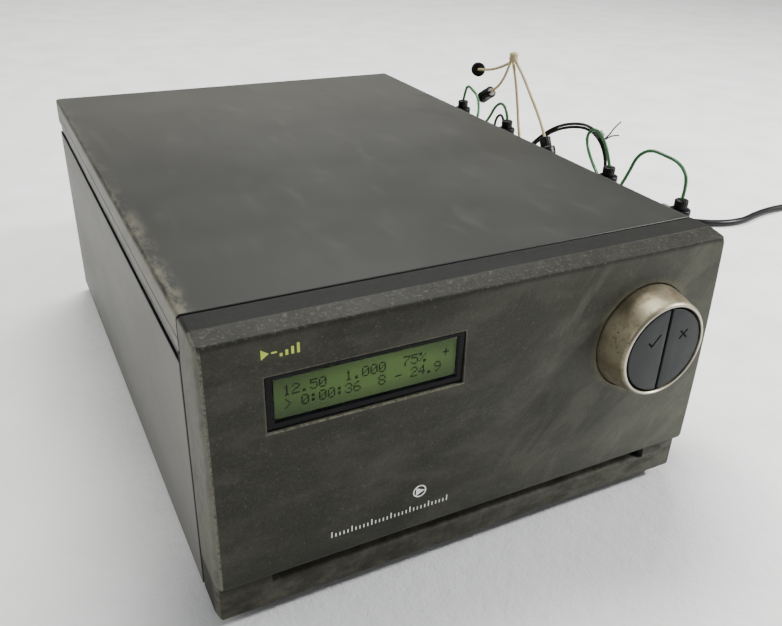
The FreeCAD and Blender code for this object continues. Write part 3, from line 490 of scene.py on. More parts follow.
coat("clip_grey", (92, 92, 86), (116, 115, 106), 0.55, cloud=8, depth=0.04)
coat("tie_grey", (60, 60, 58), (92, 92, 88), 0.6, cloud=4)


def paint_nodes():
    """Every carried-over piece takes the finish of its slot."""
    for part in frame["record"]["subparts"]:
        shown = frame["nodes"][part["node"]]
        material = finishes[part["material_slot"]]
        for index in range(len(shown.data.materials)):
            shown.data.materials[index] = material
        if not shown.data.materials:
            shown.data.materials.append(material)


paint_nodes()


# ---------------------------------------------------------------- mesh helpers


def finish(piece, slot, body="case", replaces=(), material=None):
    piece.data.materials.clear()
    piece.data.materials.append(finishes[material or slot])
    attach(piece, body)
    if replaces:
        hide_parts(*replaces)
    return piece


def solid(name, points, faces, smooth=35.0):
    """A mesh object from points in metres, with faces that point outward."""
    mesh = bpy.data.meshes.new(name)
    mesh.from_pydata([tuple(p) for p in points], [], faces)
    work = bmesh.new()
    work.from_mesh(mesh)
    bmesh.ops.remove_doubles(work, verts=work.verts, dist=1e-7)
    bmesh.ops.recalc_face_normals(work, faces=work.faces)
    work.to_mesh(mesh)
    work.free()
    piece = add(name, mesh)
    soften_shading(piece, smooth)
    return piece


def soften_shading(piece, angle):
    mesh = piece.data
    mesh.polygons.foreach_set("use_smooth", [True] * len(mesh.polygons))
    mesh.set_sharp_from_angle(angle=math.radians(angle))
    mesh.update()


def loft(loops, closed=False):
    """Faces between loops of equal length. Open lofts get a cap at each end."""
    points = [p for loop in loops for p in loop]
    around, count = len(loops[0]), len(loops)
    faces = []
    for row in range(count if closed else count - 1):
        for i in range(around):
            j = (i + 1) % around
            a, b = row * around, ((row + 1) % count) * around
            faces.append((a + i, a + j, b + j, b + i))
    if not closed:
        faces.append(tuple(range(around)))
        faces.append(tuple(reversed(range((count - 1) * around, count * around))))
    return points, faces


def cross_axes(way):
    """The unit vector along way, and two more at right angles to it."""
    way = Vector(way).normalized()
    side = way.orthogonal().normalized()
    return way, side, way.cross(side)


def outward(side, other, turn):
    return side * math.cos(turn) + other * math.sin(turn)


def lathe(name, profile, centre, axis, steps, closed=True):
    """Revolves (distance along the axis, radius) corners, in millimetres, about a line through centre."""
    axis, side, other = cross_axes(axis)
    loops = []
    for i in range(steps):
        out = outward(side, other, 2 * math.pi * i / steps)
        loops.append([centre + (axis * along + out * radius) * MM for along, radius in profile])
    points = [p for loop in loops for p in loop]
    count = len(profile)
    faces = []
    for i in range(steps):
        j = (i + 1) % steps
        for k in range(count if closed else count - 1):
            m = (k + 1) % count
            faces.append((i * count + k, j * count + k, j * count + m, i * count + m))
    return solid(name, points, faces)


def arc(centre, radius, start, end, steps):
    """Points of an arc in a plane; angles in degrees."""
    spread = [math.radians(start + (end - start) * i / steps) for i in range(steps + 1)]
    return [(centre[0] + radius * math.cos(t), centre[1] + radius * math.sin(t)) for t in spread]


def inset(corners, amounts):
    """Moves each edge of a closed outline inward by its own amount."""
    count = len(corners)
    area = sum(corners[i][0] * corners[(i + 1) % count][1] - corners[(i + 1) % count][0] * corners[i][1]
               for i in range(count))
    inward = 1 if area > 0 else -1
    lines = []
    for i in range(count):
        start, end = Vector(corners[i]), Vector(corners[(i + 1) % count])
        way = (end - start).normalized()
        normal = Vector((-way.y, way.x)) * inward
        lines.append((start + normal * amounts[i], way))
    moved = []
    for i in range(count):
        (first, along), (second, way) = lines[i - 1], lines[i]
        cross = along.x * way.y - along.y * way.x
        if abs(cross) < 1e-6:
            moved.append(second.copy())
            continue
        gap = second - first
        moved.append(first + along * ((gap.x * way.y - gap.y * way.x) / cross))
    return moved


def shrunk(corners, amount):
    """The whole outline moved inward by one amount."""
    return inset(corners, [amount] * len(corners)) if amount else corners


def rounded(corners, radii, steps=5):
    """Replaces each corner that has a radius by an arc of steps + 1 points."""
    points = []
    count = len(corners)
    for i, radius in enumerate(radii):
        corner = Vector(corners[i])
        if not radius:
            points.append(corner)
            continue
        before, after = Vector(corners[i - 1]) - corner, Vector(corners[(i + 1) % count]) - corner
        half = before.angle(after) / 2
        reach = min(radius / math.tan(half), 0.48 * before.length, 0.48 * after.length)
        radius = reach * math.tan(half)
        bisector = (before.normalized() + after.normalized()).normalized()
        middle = corner + bisector * (radius / math.sin(half))
        first = corner + before.normalized() * reach - middle
        last = corner + after.normalized() * reach - middle
        turn = first.angle_signed(last)
        for k in range(steps + 1):
            step = Matrix.Rotation(-turn * k / steps, 2)
            points.append(middle + step @ first)
    return points


def rectangle(x_span, z_span, radius, steps=4):
    (x0, x1), (z0, z1) = x_span, z_span
    return rounded([(x0, z0), (x1, z0), (x1, z1), (x0, z1)], [radius] * 4, steps)


def upright(outline, y):
    """An outline in X and Z, at one Y."""
    return [spot(x, y, z) for x, z in outline]


def stacked(name, outline, rows, **options):
    """A solid through an outline at each (Y, amount that the outline shrinks there)."""
    return solid(name, *loft([upright(shrunk(outline, amount), y) for y, amount in rows]), **options)


def plate(name, outline, y_front, y_back, ease=0.0, steps=3):
    """A slab with a flat outline, its front edge rounded by ease."""
    rows = [(y_back, 0)]
    for k in range(steps + 1):
        turn = math.pi / 2 * k / steps
        rows.append((y_front + ease * (1 - math.sin(turn)), ease * (1 - math.cos(turn))))
    return stacked(name, outline, rows)


def carve(piece, cutters):
    """Cuts each cutter out of piece, then removes the cutters."""
    for cutter in cutters:
        change = piece.modifiers.new("carve", "BOOLEAN")
        change.operation = "DIFFERENCE"
        change.solver = "EXACT"
        change.object = cutter
        apply(piece)
        bpy.data.objects.remove(cutter)


def apply(piece):
    """Makes the result of all modifiers the piece's own mesh."""
    bpy.context.view_layer.update()
    graph = bpy.context.evaluated_depsgraph_get()
    made = bpy.data.meshes.new_from_object(piece.evaluated_get(graph), depsgraph=graph)
    piece.modifiers.clear()
    piece.data = made


def ease_edges(piece, width):
    """Small rounded edges wherever two faces meet at more than 50 degrees."""
    change = piece.modifiers.new("ease", "BEVEL")
    change.width = width * MM
    change.segments = 2
    change.limit_method = "ANGLE"
    change.angle_limit = math.radians(50)
    change.use_clamp_overlap = True
    change.miter_outer = "MITER_ARC"
    apply(piece)
    soften_shading(piece, 38.0)
    even = piece.modifiers.new("even", "WEIGHTED_NORMAL")
    even.keep_sharp = True
    apply(piece)


def block(x_span, y_span, z_span):
    (x0, x1), (y0, y1), (z0, z1) = x_span, y_span, z_span
    lower = [spot(x, y, z0) for x, y in ((x0, y0), (x1, y0), (x1, y1), (x0, y1))]
    upper = [spot(x, y, z1) for x, y in ((x0, y0), (x1, y0), (x1, y1), (x0, y1))]
    return solid("block", *loft([lower, upper]))


# ---------------------------------------------------------------- cords and tubes


def line(name, points, radius, slot, replaces=(), material=None):
    """A round tube along one smooth NURBS spline whose control points are points."""
    curve = bpy.data.curves.new(name, "CURVE")
    curve.dimensions = "3D"
    spline = curve.splines.new("NURBS")
    spline.points.add(len(points) - 1)
    for control, point in zip(spline.points, points):
        control.co = (*point, 1)
    spline.order_u = 3
    spline.use_endpoint_u = True
    curve.resolution_u = 10
    curve.bevel_depth = radius
    curve.bevel_resolution = 6
    curve.use_fill_caps = True
    return finish(add(name, curve), slot, replaces=replaces, material=material)


def measure(piece):
    """The length of a curve's own centre line, in metres."""
    curve = piece.data.copy()
    curve.bevel_depth = 0
    bare = bpy.data.objects.new("measure", curve)
    mesh = bpy.data.meshes.new_from_object(bare)
    spots = [v.co.copy() for v in mesh.vertices]
    bpy.data.objects.remove(bare)
    return sum((b - a).length for a, b in zip(spots, spots[1:]))


LEAD_RADIUS = 0.0033
LEAD_FLOOR = -3.7
LEAD_ROUTE = [
    (150, 379, 36), (171, 379, 36), (191, 379.7, 31), (208, 380.8, 17.4),
    (228, 381.4, 3.2),
]
LEAD_ROUTE += [(x, y, LEAD_FLOOR) for x, y in (
    (250, 379.6), (286, 371), (322, 351), (355, 328), (386, 304), (417, 284),
    (447, 263), (476, 259), (508, 268.5), (540, 271.5), (572, 268), (603, 252),
    (618, 222), (608, 190), (577, 172), (533, 167), (485, 170),
)]
COIL_CENTRE = (485, 125)
COIL_WIDE = 45
COIL_NARROW = 31
COIL_UPPER = 3.4
TAIL_ROUTE = [
    (440, 125, 3.4), (440, 103, 3.6), (441.6, 81, 0.2), (448.6, 60, LEAD_FLOOR),
    (464, 45.6, LEAD_FLOOR), (485, 38.6, 1.2), (504.5, 37, 8.2), (524, 37, 11.6),
]


def coil_turns():
    """Two turns inward on the floor, a quarter turn that climbs, and two turns outward on top of them."""
    per_turn = 16
    lower, climb, upper = 2 * per_turn, per_turn // 4, 2 * per_turn
    points = []
    for i in range(1, lower + climb + upper):
        angle = math.pi / 2 + 2 * math.pi * i / per_turn
        rise = min(max((i - lower) / climb, 0.0), 1.0)
        if i <= lower:
            radius = COIL_WIDE + (COIL_NARROW - COIL_WIDE) * i / lower
        else:
            radius = COIL_NARROW + (COIL_WIDE - COIL_NARROW) * max(i - lower - climb, 0) / upper
        # control points stand outside the turn that the spline makes
        radius /= math.cos(math.pi / per_turn) ** 0.5
        points.append((COIL_CENTRE[0] + radius * math.cos(angle), COIL_CENTRE[1] + radius * math.sin(angle),
                       LEAD_FLOOR + (COIL_UPPER - LEAD_FLOOR) * rise))
    return points


def strain_relief(name, centre, way, length, wide, narrow, inner, ribs=7):
    """A tapered sleeve with rings round it, from wide at centre to narrow at its end, in millimetres."""
    profile = [(0, inner), (0, wide)]
    pitch = length / (ribs + 0.5)
    for i in range(ribs):
        start = pitch * (i + 0.35)
        here = wide + (narrow - wide) * (start / length)
        there = wide + (narrow - wide) * ((start + pitch * 0.5) / length)
        profile += [(start, here), (start + 0.25, here - 0.75), (start + pitch * 0.5 - 0.25, there - 0.75),
                    (start + pitch * 0.5, there)]
    profile += [(length - 0.4, narrow), (length, narrow - 0.4), (length, inner)]
    return lathe(name, profile, centre, way, 40)


def make_lead_connector():
    """A right-angled appliance connector: grip, nose in the inlet and a ringed strain relief."""
    inlet_x, inlet_z = 95.0, 36.0
    face = 364.7
    grip_outline = rectangle((inlet_x - 13.5, inlet_x + 24), (inlet_z - 9.5, inlet_z + 9.5), 3.6, 6)
    rows = ((2.6, 0.8), (3.4, 0.15), (4.4, 0), (21, 0), (24, 0.5), (25.4, 1.6), (26, 3.0))
    grip = stacked("connector_grip", grip_outline, [(face + depth, amount) for depth, amount in rows])
    grooves = []
    for i in range(5):
        left = inlet_x - 10 + 4 * i
        grooves.append(block((left, left + 1.4), (face + 25.2, face + 27), (inlet_z - 5.5, inlet_z + 5.5)))
    carve(grip, grooves)
    soften_shading(grip, 40)
    finish(grip, "cable_black", replaces=["lead_connector"])
    half_nose = [(11.9, -7.9), (11.9, 4), (8, 7.9)]
    nose_corners = [(inlet_x + x, inlet_z + z) for x, z in half_nose]
    nose_corners += [(inlet_x - x, inlet_z + z) for x, z in half_nose[::-1]]
    nose = plate("connector_nose", rounded(nose_corners, [1.2] * 6, 4), face - 13.9, face + 2.7, 0.5)
    finish(nose, "cable_black", replaces=["lead_connector"])
    start = spot(inlet_x + 23.5, 379, inlet_z)
    relief = strain_relief("connector_relief", start, (1, 0, 0), 31.5, 6.4, 4.6, 3.3)
    finish(relief, "cable_black", replaces=["lead_connector"])
    return [grip, nose, relief]


def make_plug():
    """A round two-pin mains plug lying on its side, with two finger grooves and a ringed strain relief."""
    start = placed(TAIL_ROUTE)[-1]
    way = Vector((1, 0, 0))
    sleeve = strain_relief("plug_relief", start, way, 28, 4.6, 6.4, 3.3, 6)
    finish(sleeve, "cable_black", replaces=["mains_plug"])
    profile = [(27, 0), (27, 8), (28, 10.6), (30, 13), (33, 15.2), (36.6, 17.3), (40, 18.5), (42, 18.6)]
    for groove in (45, 49):
        profile += [(groove, 18.6), (groove + 0.3, 18.1), (groove + 1.3, 18.1), (groove + 1.6, 18.6)]
    profile += [(62, 18.6), (63, 18.3), (63.5, 17.6), (63.5, 15.4), (62.8, 15.0), (62.8, 0)]
    body = lathe("plug_body", profile, start, way, 72, closed=False)
    finish(body, "cable_black", replaces=["mains_plug"])
    pins = []
    for number, side in ((1, -9.5), (2, 9.5)):
        base = start + Vector((0, side, 0)) * MM
        sleeve_profile = [(62.6, 0), (62.6, 2.4), (72.5, 2.4), (72.7, 2.2), (72.7, 0)]
        sheath = lathe(f"plug_sheath_{number}", sleeve_profile, base, way, 24, False)
        finish(sheath, "cable_black", replaces=["mains_plug"])
        tip_profile = [(72.4, 0), (72.4, 2.35), (80.4, 2.35), (81.6, 1.9), (82.2, 1.0), (82.4, 0)]
        tip = lathe(f"plug_pin_{number}", tip_profile, base, way, 24, False)
        finish(tip, "cable_black", replaces=["mains_plug"], material="screw_steel")
        pins += [sheath, tip]
    return [sleeve, body, *pins]


def make_coil_tie():
    """A twisted paper tie round the coil."""
    angle = math.radians(-50)
    out = Vector((math.cos(angle), math.sin(angle), 0))
    middle = spot(*COIL_CENTRE, 0) + out * 38 * MM
    ring = []
    for i in range(20):
        turn = 2 * math.pi * i / 20
        across = (abs(math.cos(turn)) ** 0.6) * math.copysign(1, math.cos(turn)) * 10.6
        up = (abs(math.sin(turn)) ** 0.6) * math.copysign(1, math.sin(turn)) * 6.4
        ring.append(middle + (out * across + Vector((0, 0, up + 0.15))) * MM)
    ring += ring[:2]
    return line("coil_tie", ring, 0.0006, "cable_black", material="tie_grey")


def make_mains_lead():
    points = placed(LEAD_ROUTE + coil_turns() + TAIL_ROUTE)
    lead = line("mains_lead_flex", points, LEAD_RADIUS, "cable_black",
                replaces=["mains_lead", "mains_coil", "mains_tail"])
    pieces = make_lead_connector() + make_plug() + [make_coil_tie()]
    print("mains lead", round(measure(lead), 4))


TUBE_RADIUS = 0.00095
LOW_TUBE = [
    (151, 220.6, 178.6), (152.6, 225.4, 172), (155, 232.6, 164.2), (158, 243.2, 155.6),
    (156.6, 249.4, 151),
]
HIGH_TUBE = [
    (153, 220.9, 178.6), (153.2, 227.8, 174.8), (153.4, 238.6, 170.2), (153.5, 250.4, 166.4),
    (153.5, 263.8, 164.1),
]


def knurled(name, base, way, rows, ribs, deep=0.22):
    """A turned piece from (height, radius, ribbed) rows along way, ribbed where the third value is 1."""
    way, side, other = cross_axes(way)
    around = ribs * 6
    loops = []
    for along, radius, ribbed in rows:
        loop = []
        for i in range(around):
            turn = 2 * math.pi * i / around
            out = outward(side, other, turn)
            reach = radius - ribbed * deep * (0.5 - 0.5 * math.cos(ribs * turn)) ** 2
            loop.append(base + (way * along + out * reach) * MM)
        loops.append(loop)
    return solid(name, *loft(loops), smooth=50)


def finger_nut(name, start, way, length, radius):
    """A ribbed finger nut with a waist and a tapered tip, in millimetres, along way from start."""
    rows = [(0, 0.55, 0), (0, 0.9, 0), (0.5, 1.0, 0), (1.0, 1.0, 1)]
    rows += [(length * part, share, ribbed) for part, share, ribbed in (
        (0.62, 1.0, 1), (0.66, 1.0, 0), (0.7, 0.9, 0), (0.74, 0.9, 0), (0.78, 1.0, 0))]
    rows += [(length - 0.4, 1.0, 0), (length, 0.9, 0), (length, 0.52, 0), (length + 3, 0.3, 0),
             (length + 3, 0.1, 0)]
    rows = [(along, radius * share, ribbed) for along, share, ribbed in rows]
    return knurled(name, start, way, rows, 14, 0.28)


def make_free_tubes():
    """The two capillaries that end in loose nuts."""
    for name, route, length, radius, measured, way in (
        ("low_tube", LOW_TUBE, 12.5, 4.2, 0.0405, (-0.05, 0.84, -0.54)),
        ("high_tube", HIGH_TUBE, 7.5, 5.0, 0.0455, (0.5, 0.85, -0.18)),
    ):
        points = placed(route)
        tube = line(name + "_run", points, TUBE_RADIUS, "tube_beige", replaces=[name])
        nut = finger_nut(name + "_nut", points[-1], way, length, radius)
        finish(nut, "valve_black", replaces=["loose_nuts"])
        print(name, round(measure(tube), 4))


make_mains_lead()
make_free_tubes()


# ---------------------------------------------------------------- tubes that the object holds

OUTLET_ROUTES = [
    [(150, 48.55, 138.8), (150.1, 47.8, 146), (150, 49.5, 153.2), (150, 56.5, 157.6),
     (149.6, 66.5, 158.3), (148.4, 76.5, 158.8), (146.6, 83.8, 153), (145, 86.2, 143),
     (141.2, 87.7, 133.6), (137, 87.5, 128)],
    [(150, 107.95, 138.8), (150, 110.6, 145), (150, 115.4, 152.4), (148.6, 122.8, 158.6),
     (146.8, 128.2, 154), (145.8, 125.6, 147), (144, 117, 139.4), (140.4, 104, 133.6),
     (137, 97, 128)],
    [(150, 216.6, 138.8), (150, 217.8, 144.6), (149.2, 223.6, 150), (147.4, 229.2, 146),
     (145.2, 231.2, 138.6), (140.6, 231.6, 132.6), (137, 231, 128)],
    [(150, 276, 138.8), (150, 274.2, 145), (149.8, 271, 151.8), (148.6, 260, 149.4),
     (146.4, 250.6, 147.4), (143.4, 243.4, 140), (139.8, 240.4, 133), (137, 239, 128)],
]
CELL_ROUTES = [
    [(150.8, 217.8, 178.6), (151.6, 214.2, 169), (151.2, 208.8, 154), (150, 203.6, 140.5),
     (148.8, 196.6, 126), (148.2, 191.2, 117.4), (148, 190.5, 112)],
    [(153, 217.5, 178.6), (152.8, 208.8, 172.6), (151.8, 195.4, 161), (151.2, 182, 149),
     (150.3, 172.6, 138.2), (150, 169.95, 133.13)],
]
SENSOR_ROUTE = [
    (131.5, 199.8, 113), (143, 199.8, 113), (153.4, 200.8, 117.4), (161, 200.4, 124.4),
    (166, 195, 132.2), (168.6, 186.6, 139), (171, 175, 144.4), (174.6, 161.6, 147),
    (177.6, 152, 142.6), (181, 147.4, 132.4), (182.2, 145.6, 120), (177, 144, 107.6),
    (166, 142.2, 97), (149, 140.6, 91), (131.5, 140.6, 91),
]
TIE_ENDS = [
    [(178.8, 149, 140.8), (180, 145, 144.5), (181, 143, 150), (182, 138.7, 154.8)],
    [(179, 148.4, 140.4), (180.6, 145.2, 143.8), (181.8, 142, 145.2), (183, 139.5, 145.8)],
]


def make_held_tubes():
    for name, routes, slot in (
        ("outlet_tube", OUTLET_ROUTES, "tube_green"),
        ("cell_tube", CELL_ROUTES, "tube_beige"),
    ):
        for i, route in enumerate(routes, start=1):
            line(f"{name}_{i}", placed(route), TUBE_RADIUS, slot, replaces=[name + "s"])
    for i, side in enumerate((-1, 1), start=1):
        strand = [point + Vector((0, 0, side * 1.1)) * MM for point in placed(SENSOR_ROUTE)]
        line(f"sensor_strand_{i}", strand, 0.00095, "cable_black", replaces=["sensor_cable"])
    for i, route in enumerate(TIE_ENDS, start=1):
        line(f"twist_tie_end_{i}", placed(route), 0.00045, "clip_grey", material="tie_grey")
    centre = placed(SENSOR_ROUTE)[8] + Vector((1.2, 1, 0.4)) * MM
    way = placed(SENSOR_ROUTE)[9] - placed(SENSOR_ROUTE)[7]
    way, side, other = cross_axes(way)
    loop = []
    for i in range(41):
        out = outward(side, other, 2 * math.pi * i / 10)
        loop.append(centre + out * 0.0026 + way * (i - 20) * 0.00011)
    line("twist_tie", loop, 0.00045, "clip_grey", material="tie_grey")


make_held_tubes()


# ---------------------------------------------------------------- fittings on the heads


def make_tube_nuts():
    """A knurled nut over each outlet capillary, on a wider collar, and the same on the pressure cell."""
    up = Vector((0, 0, 1))
    lean = Vector((0, 8.45, 18.13)).normalized()
    spots = [(spot(150, y, 0), up, 133.7, 5.1) for y in (48.55, 107.95, 216.6, 276.0)]
    spots.append((spot(150, 161.5, 115), lean, 20.2, 6.4))
    for i, (base, way, rise, tall) in enumerate(spots, start=1):
        rows = [(-0.5, 3.3, 0), (-0.5, 3.6, 0), (0, 3.7, 1), (tall - 0.5, 3.7, 1), (tall - 0.2, 3.55, 0),
                (tall, 3.2, 0), (tall, 1.3, 0), (tall - 0.8, 1.0, 0)]
        nut = knurled(f"tube_nut_{i}", base, way, [(rise + up_by, *rest) for up_by, *rest in rows], 18)
        finish(nut, "valve_black", replaces=["tube_nuts"])
        rows = [(-5.6, 5.4, 0), (-5.4, 5.75, 0), (-0.6, 5.75, 0), (-0.15, 5.45, 0), (0, 5.0, 0),
                (-0.2, 4.2, 0), (-0.4, 3.0, 0)]
        collar = knurled(f"tube_collar_{i}", base, way, [(rise + up_by, *rest) for up_by, *rest in rows], 18)
        finish(collar, "valve_black")


HOOK_ROUTE = [
    (152, 234, 122), (152.2, 235.2, 130), (152.4, 233.4, 136.6), (152.2, 228.2, 140.2),
    (152, 223.8, 137.6), (151.8, 222.6, 130),
]


def make_junction():
    """The small moulded cross that the four capillaries meet in."""
    profile = [(0, 0.9), (0, 2.5), (0.4, 2.9), (2.3, 3.1), (2.7, 2.7), (3.2, 2.7), (3.6, 3.1), (5.0, 3.0),
               (5.7, 2.5), (6.0, 1.6), (6.0, 0.9)]
    piece = lathe("junction_cross", profile, spot(152, 219.2, 178.6), (0, 0, 1), 48)
    finish(piece, "tube_beige", replaces=["tube_junction"])


def make_clip():
    """A rounded saddle that holds the tubing beside the first head."""
    outline = rounded([(130, 123), (156, 123), (156, 130.6), (130, 130.6)], [0.3, 1.5, 2.2, 0.3], 5)
    rows = ((56.0, 1.2), (56.4, 0.4), (57.2, 0), (64.4, 0), (65.3, 0.4), (65.8, 1.2))
    finish(stacked("tube_saddle", outline, rows), "clip_grey", replaces=["tube_clip"])


def make_gap_shade_strips():
    """Dark strips in the gaps between the front moulding and the side walls: painted shade standing in for
    the shadow in those gaps.
    """
    for name, x0, x1 in (("left", -129.9, -127.2), ("right", 127.2, 129.9)):
        strip = block((x0, x1), (25.1, 25.95), (0.8, 124.6))
        strip.name = f"gap_shade_strip_{name}"
        ease_edges(strip, 0.2)
        finish(strip, "foot_rubber")


make_clip()
make_gap_shade_strips()
make_junction()
make_tube_nuts()
line("valve_wire", placed(HOOK_ROUTE), 0.0009, "cable_black")


# ---------------------------------------------------------------- top cover


def make_cover():
    """Folded sheet: a flat top and two side flanges, each with a shallow pressed line near its foot."""
    groove = 131.4
    half = [(130, 126), (130, groove - 0.35), (129.65, groove - 0.2), (129.65, groove + 0.2),
            (130, groove + 0.35)]
    half += arc((127.8, 139.8), 2.2, 0, 90, 7)
    outer = half + [(-x, z) for x, z in reversed(half)]
    bend = arc((127.6, 139.4), 1.4, 0, 90, 5)
    inner = [(-129.0, 126), (-129.0, 139.4)] + [(-x, z) for x, z in reversed(bend)]
    inner += arc((127.6, 139.4), 1.4, 90, 0, 5) + [(129.0, 139.4), (129.0, 126)]
    outline = outer + inner
    rows = ((22.5, 0.25), (22.75, 0.0), (366.75, 0.0), (367.0, 0.25))
    cover = stacked("cover_sheet", outline, rows, smooth=28)
    finish(cover, "cover_paint", replaces=["top_cover"])


make_cover()


# ---------------------------------------------------------------- front panel

PANEL_HALF = 130.0
END_FORM = ((0.0, 1.0), (0.6, 0.5), (1.2, 0.2), (1.7, 0.05), (2.2, 0.0))


def face_y(z):
    """Where the panel's crowned face stands, in millimetres back from the chin."""
    return -4.3 + 2.2 * ((z - 50) / 88) ** 2


def panel_outline():
    """The section in Y and Z, how far each edge pulls in at the ends, and each corner's radius."""
    bulge = []
    for i in range(13):
        z = 137.4 - i * (137.4 - 24.4) / 12
        bulge.append((face_y(z), z))
    corners = [(22.9, 0), (22.9, 140.4), (21.5, 140.4), (21.5, 142), (8.5, 142), (-1.0, 140.3)] + bulge
    corners += [(-3.3, 22.2), (0, 22.2), (0, 0)]
    pulls = [0.3, 0.3, 0.3, 0.9, 1.0] + [3.6] * (len(bulge) + 1) + [0.9, 4.5, 1.6]
    radii = [0.2, 0.2, 0.2, 0.4, 2.2, 0.9] + [0] * len(bulge) + [0.9, 0.35, 2.6]
    return corners, pulls, radii


def make_front_panel():
    """One moulding: crowned face, sloping rim, chin with its finger slot, window and knob recess."""
    corners, pulls, radii = panel_outline()
    loops = []
    for side in (-1, 1):
        for inward, share in END_FORM[::-side]:
            section = rounded(inset(corners, [share * pull for pull in pulls]), radii)
            loops.append([spot(side * (PANEL_HALF - inward), y, z) for y, z in section])
    panel = solid("front_moulding", *loft(loops))
    window = plate("window", rectangle(WINDOW_X, WINDOW_Z, 0.8), -8, 1)
    rising_lip = [(-2.6, 12.9), (0, 12.9), (8, 19.5), (8, 22.2), (-2.6, 22.2)]
    scoop = [[spot(x, y, z) for y, z in rising_lip] for x in (-105.0, 107.0)]
    pocket = [(107, -2.6), (107, 20), (86, 20), (86, 11), (104.9, -0.3), (104.9, -2.6)]
    pocket = [[spot(x, y, z) for x, y in pocket] for z in (12.9, 22.2)]
    recess = [(-8, 0), (-8, 27.75), (-1.3, 27.75), (-1.3, 0)]
    sleeve_hole = [(-8, 0), (-8, 12), (5, 12), (5, 0)]
    cutters = [
        block((-127, 127), (0, 30), (25.2, 139)),
        window,
        lathe("recess", recess, KNOB, (0, 1, 0), 128, False),
        lathe("through", sleeve_hole, KNOB, (0, 1, 0), 64, False),
        solid("scoop", *loft(scoop)),
        solid("pocket", *loft(pocket)),
        block((-132, -128.8), (21.5, 27), (125.2, 143)),
        block((128.8, 132), (21.5, 27), (125.2, 143)),
    ]
    carve(panel, cutters)
    ease_edges(panel, 0.35)
    finish(panel, "front_moulding", replaces=["front_panel"])


make_front_panel()


# ---------------------------------------------------------------- display

# rows of the dots in each 5 x 7 character cell
DOTS = {
    "0": (" ### ", "#   #", "#  ##", "# # #", "##  #", "#   #", " ### "),
    "1": ("  #  ", " ##  ", "  #  ", "  #  ", "  #  ", "  #  ", " ### "),
    "2": (" ### ", "#   #", "    #", "  ## ", " #   ", "#    ", "#####"),
    "3": (" ### ", "#   #", "    #", "  ## ", "    #", "#   #", " ### "),
    "4": ("   # ", "  ## ", " # # ", "#  # ", "#####", "   # ", "   # "),
    "5": ("#####", "#    ", "#### ", "    #", "    #", "#   #", " ### "),
    "6": ("  ## ", " #   ", "#    ", "#### ", "#   #", "#   #", " ### "),
    "7": ("#####", "    #", "   # ", "  #  ", " #   ", " #   ", " #   "),
    "8": (" ### ", "#   #", "#   #", " ### ", "#   #", "#   #", " ### "),
    "9": (" ### ", "#   #", "#   #", " ####", "    #", "   # ", " ##  "),
    ".": ("     ", "     ", "     ", "     ", "     ", " ##  ", " ##  "),
    ":": ("     ", " ##  ", " ##  ", "     ", " ##  ", " ##  ", "     "),
    "-": ("     ", "     ", "     ", "#####", "     ", "     ", "     "),
    "+": ("     ", "  #  ", "  #  ", "#####", "  #  ", "  #  ", "     "),
    "%": ("##   ", "##  #", "   # ", "  #  ", " #   ", "#  ##", "   ##"),
    ">": (" #   ", "  #  ", "   # ", "    #", "   # ", "  #  ", " #   "),
}
READING = ("12.50  1.000  75%  +", "> 0:00:36  8 - 24.9 ")


def make_display():
    """A black bezel round the lit glass, and dark dot-matrix digits on it."""
    outer = rectangle((-104.9, -16.7), (97.2, 122.3), 0.7)
    inner = rectangle((-101.2, -20.0), (101.2, 119.9), 0.3)
    lip = shrunk(inner, -0.9)
    loops = [upright(outer, -0.3), upright(outer, -2.0), upright(shrunk(outer, 0.35), -2.4),
             upright(lip, -2.4), upright(inner, -1.75), upright(inner, -0.3)]
    bezel = solid("display_surround", *loft(loops, closed=True))
    finish(bezel, "bezel_black", replaces=["display_bezel"])
    pitch_x, pitch_z, dot_x, dot_z = 0.655, 0.70, 0.58, 0.62
    cell_x, cell_z = 3.72, 6.2
    left, top = -60.6 - 10 * cell_x + 0.4, 110.5 + cell_z - 0.5
    cube_faces = ((0, 1, 2, 3), (7, 6, 5, 4), (0, 4, 5, 1), (1, 5, 6, 2), (2, 6, 7, 3), (3, 7, 4, 0))
    points, faces = [], []
    for row, text in enumerate(READING):
        for column, letter in enumerate(text):
            for down, dots in enumerate(DOTS.get(letter, ())):
                for over, dot in enumerate(dots):
                    if dot == " ":
                        continue
                    x = left + column * cell_x + over * pitch_x
                    z = top - row * cell_z - down * pitch_z
                    first = len(points)
                    square = ((x, z), (x + dot_x, z), (x + dot_x, z - dot_z), (x, z - dot_z))
                    points += upright(square, -1.46) + upright(square, -1.38)
                    faces += [tuple(first + i for i in face) for face in cube_faces]
    digits = solid("display_digits", points, faces, 20)
    finish(digits, "display_lit", material="display_dots")


make_display()


# ---------------------------------------------------------------- knob and buttons

BUTTON_RADIUS = 21.4
BUTTON_FACE = -18.7


def make_knob():
    """A tapered metal ring with a rolled rim."""
    rim = [(-16.6, 24.75), (-17.5, 24.55), (-18.2, 24.25), (-18.7, 23.8), (-18.98, 23.4), (-19.1, 23.05)]
    profile = [(-1.9, 26.5), (-2.3, 26.9), (-3.2, 27.05), (-4.0, 27.0), (-10, 25.95)] + rim
    profile += [(-19.08, 22.8), (-18.85, 22.55), (-18.4, 22.42), (-16.8, 22.4), (-5, 22.4), (-5, 9.5)]
    profile += [(12, 9.5), (12, 11.5), (-1.9, 11.5)]
    ring = lathe("knob_ring_turned", profile, KNOB, (0, 1, 0), 160)
    finish(ring, "knob_metal", "knob", replaces=["knob_ring"])


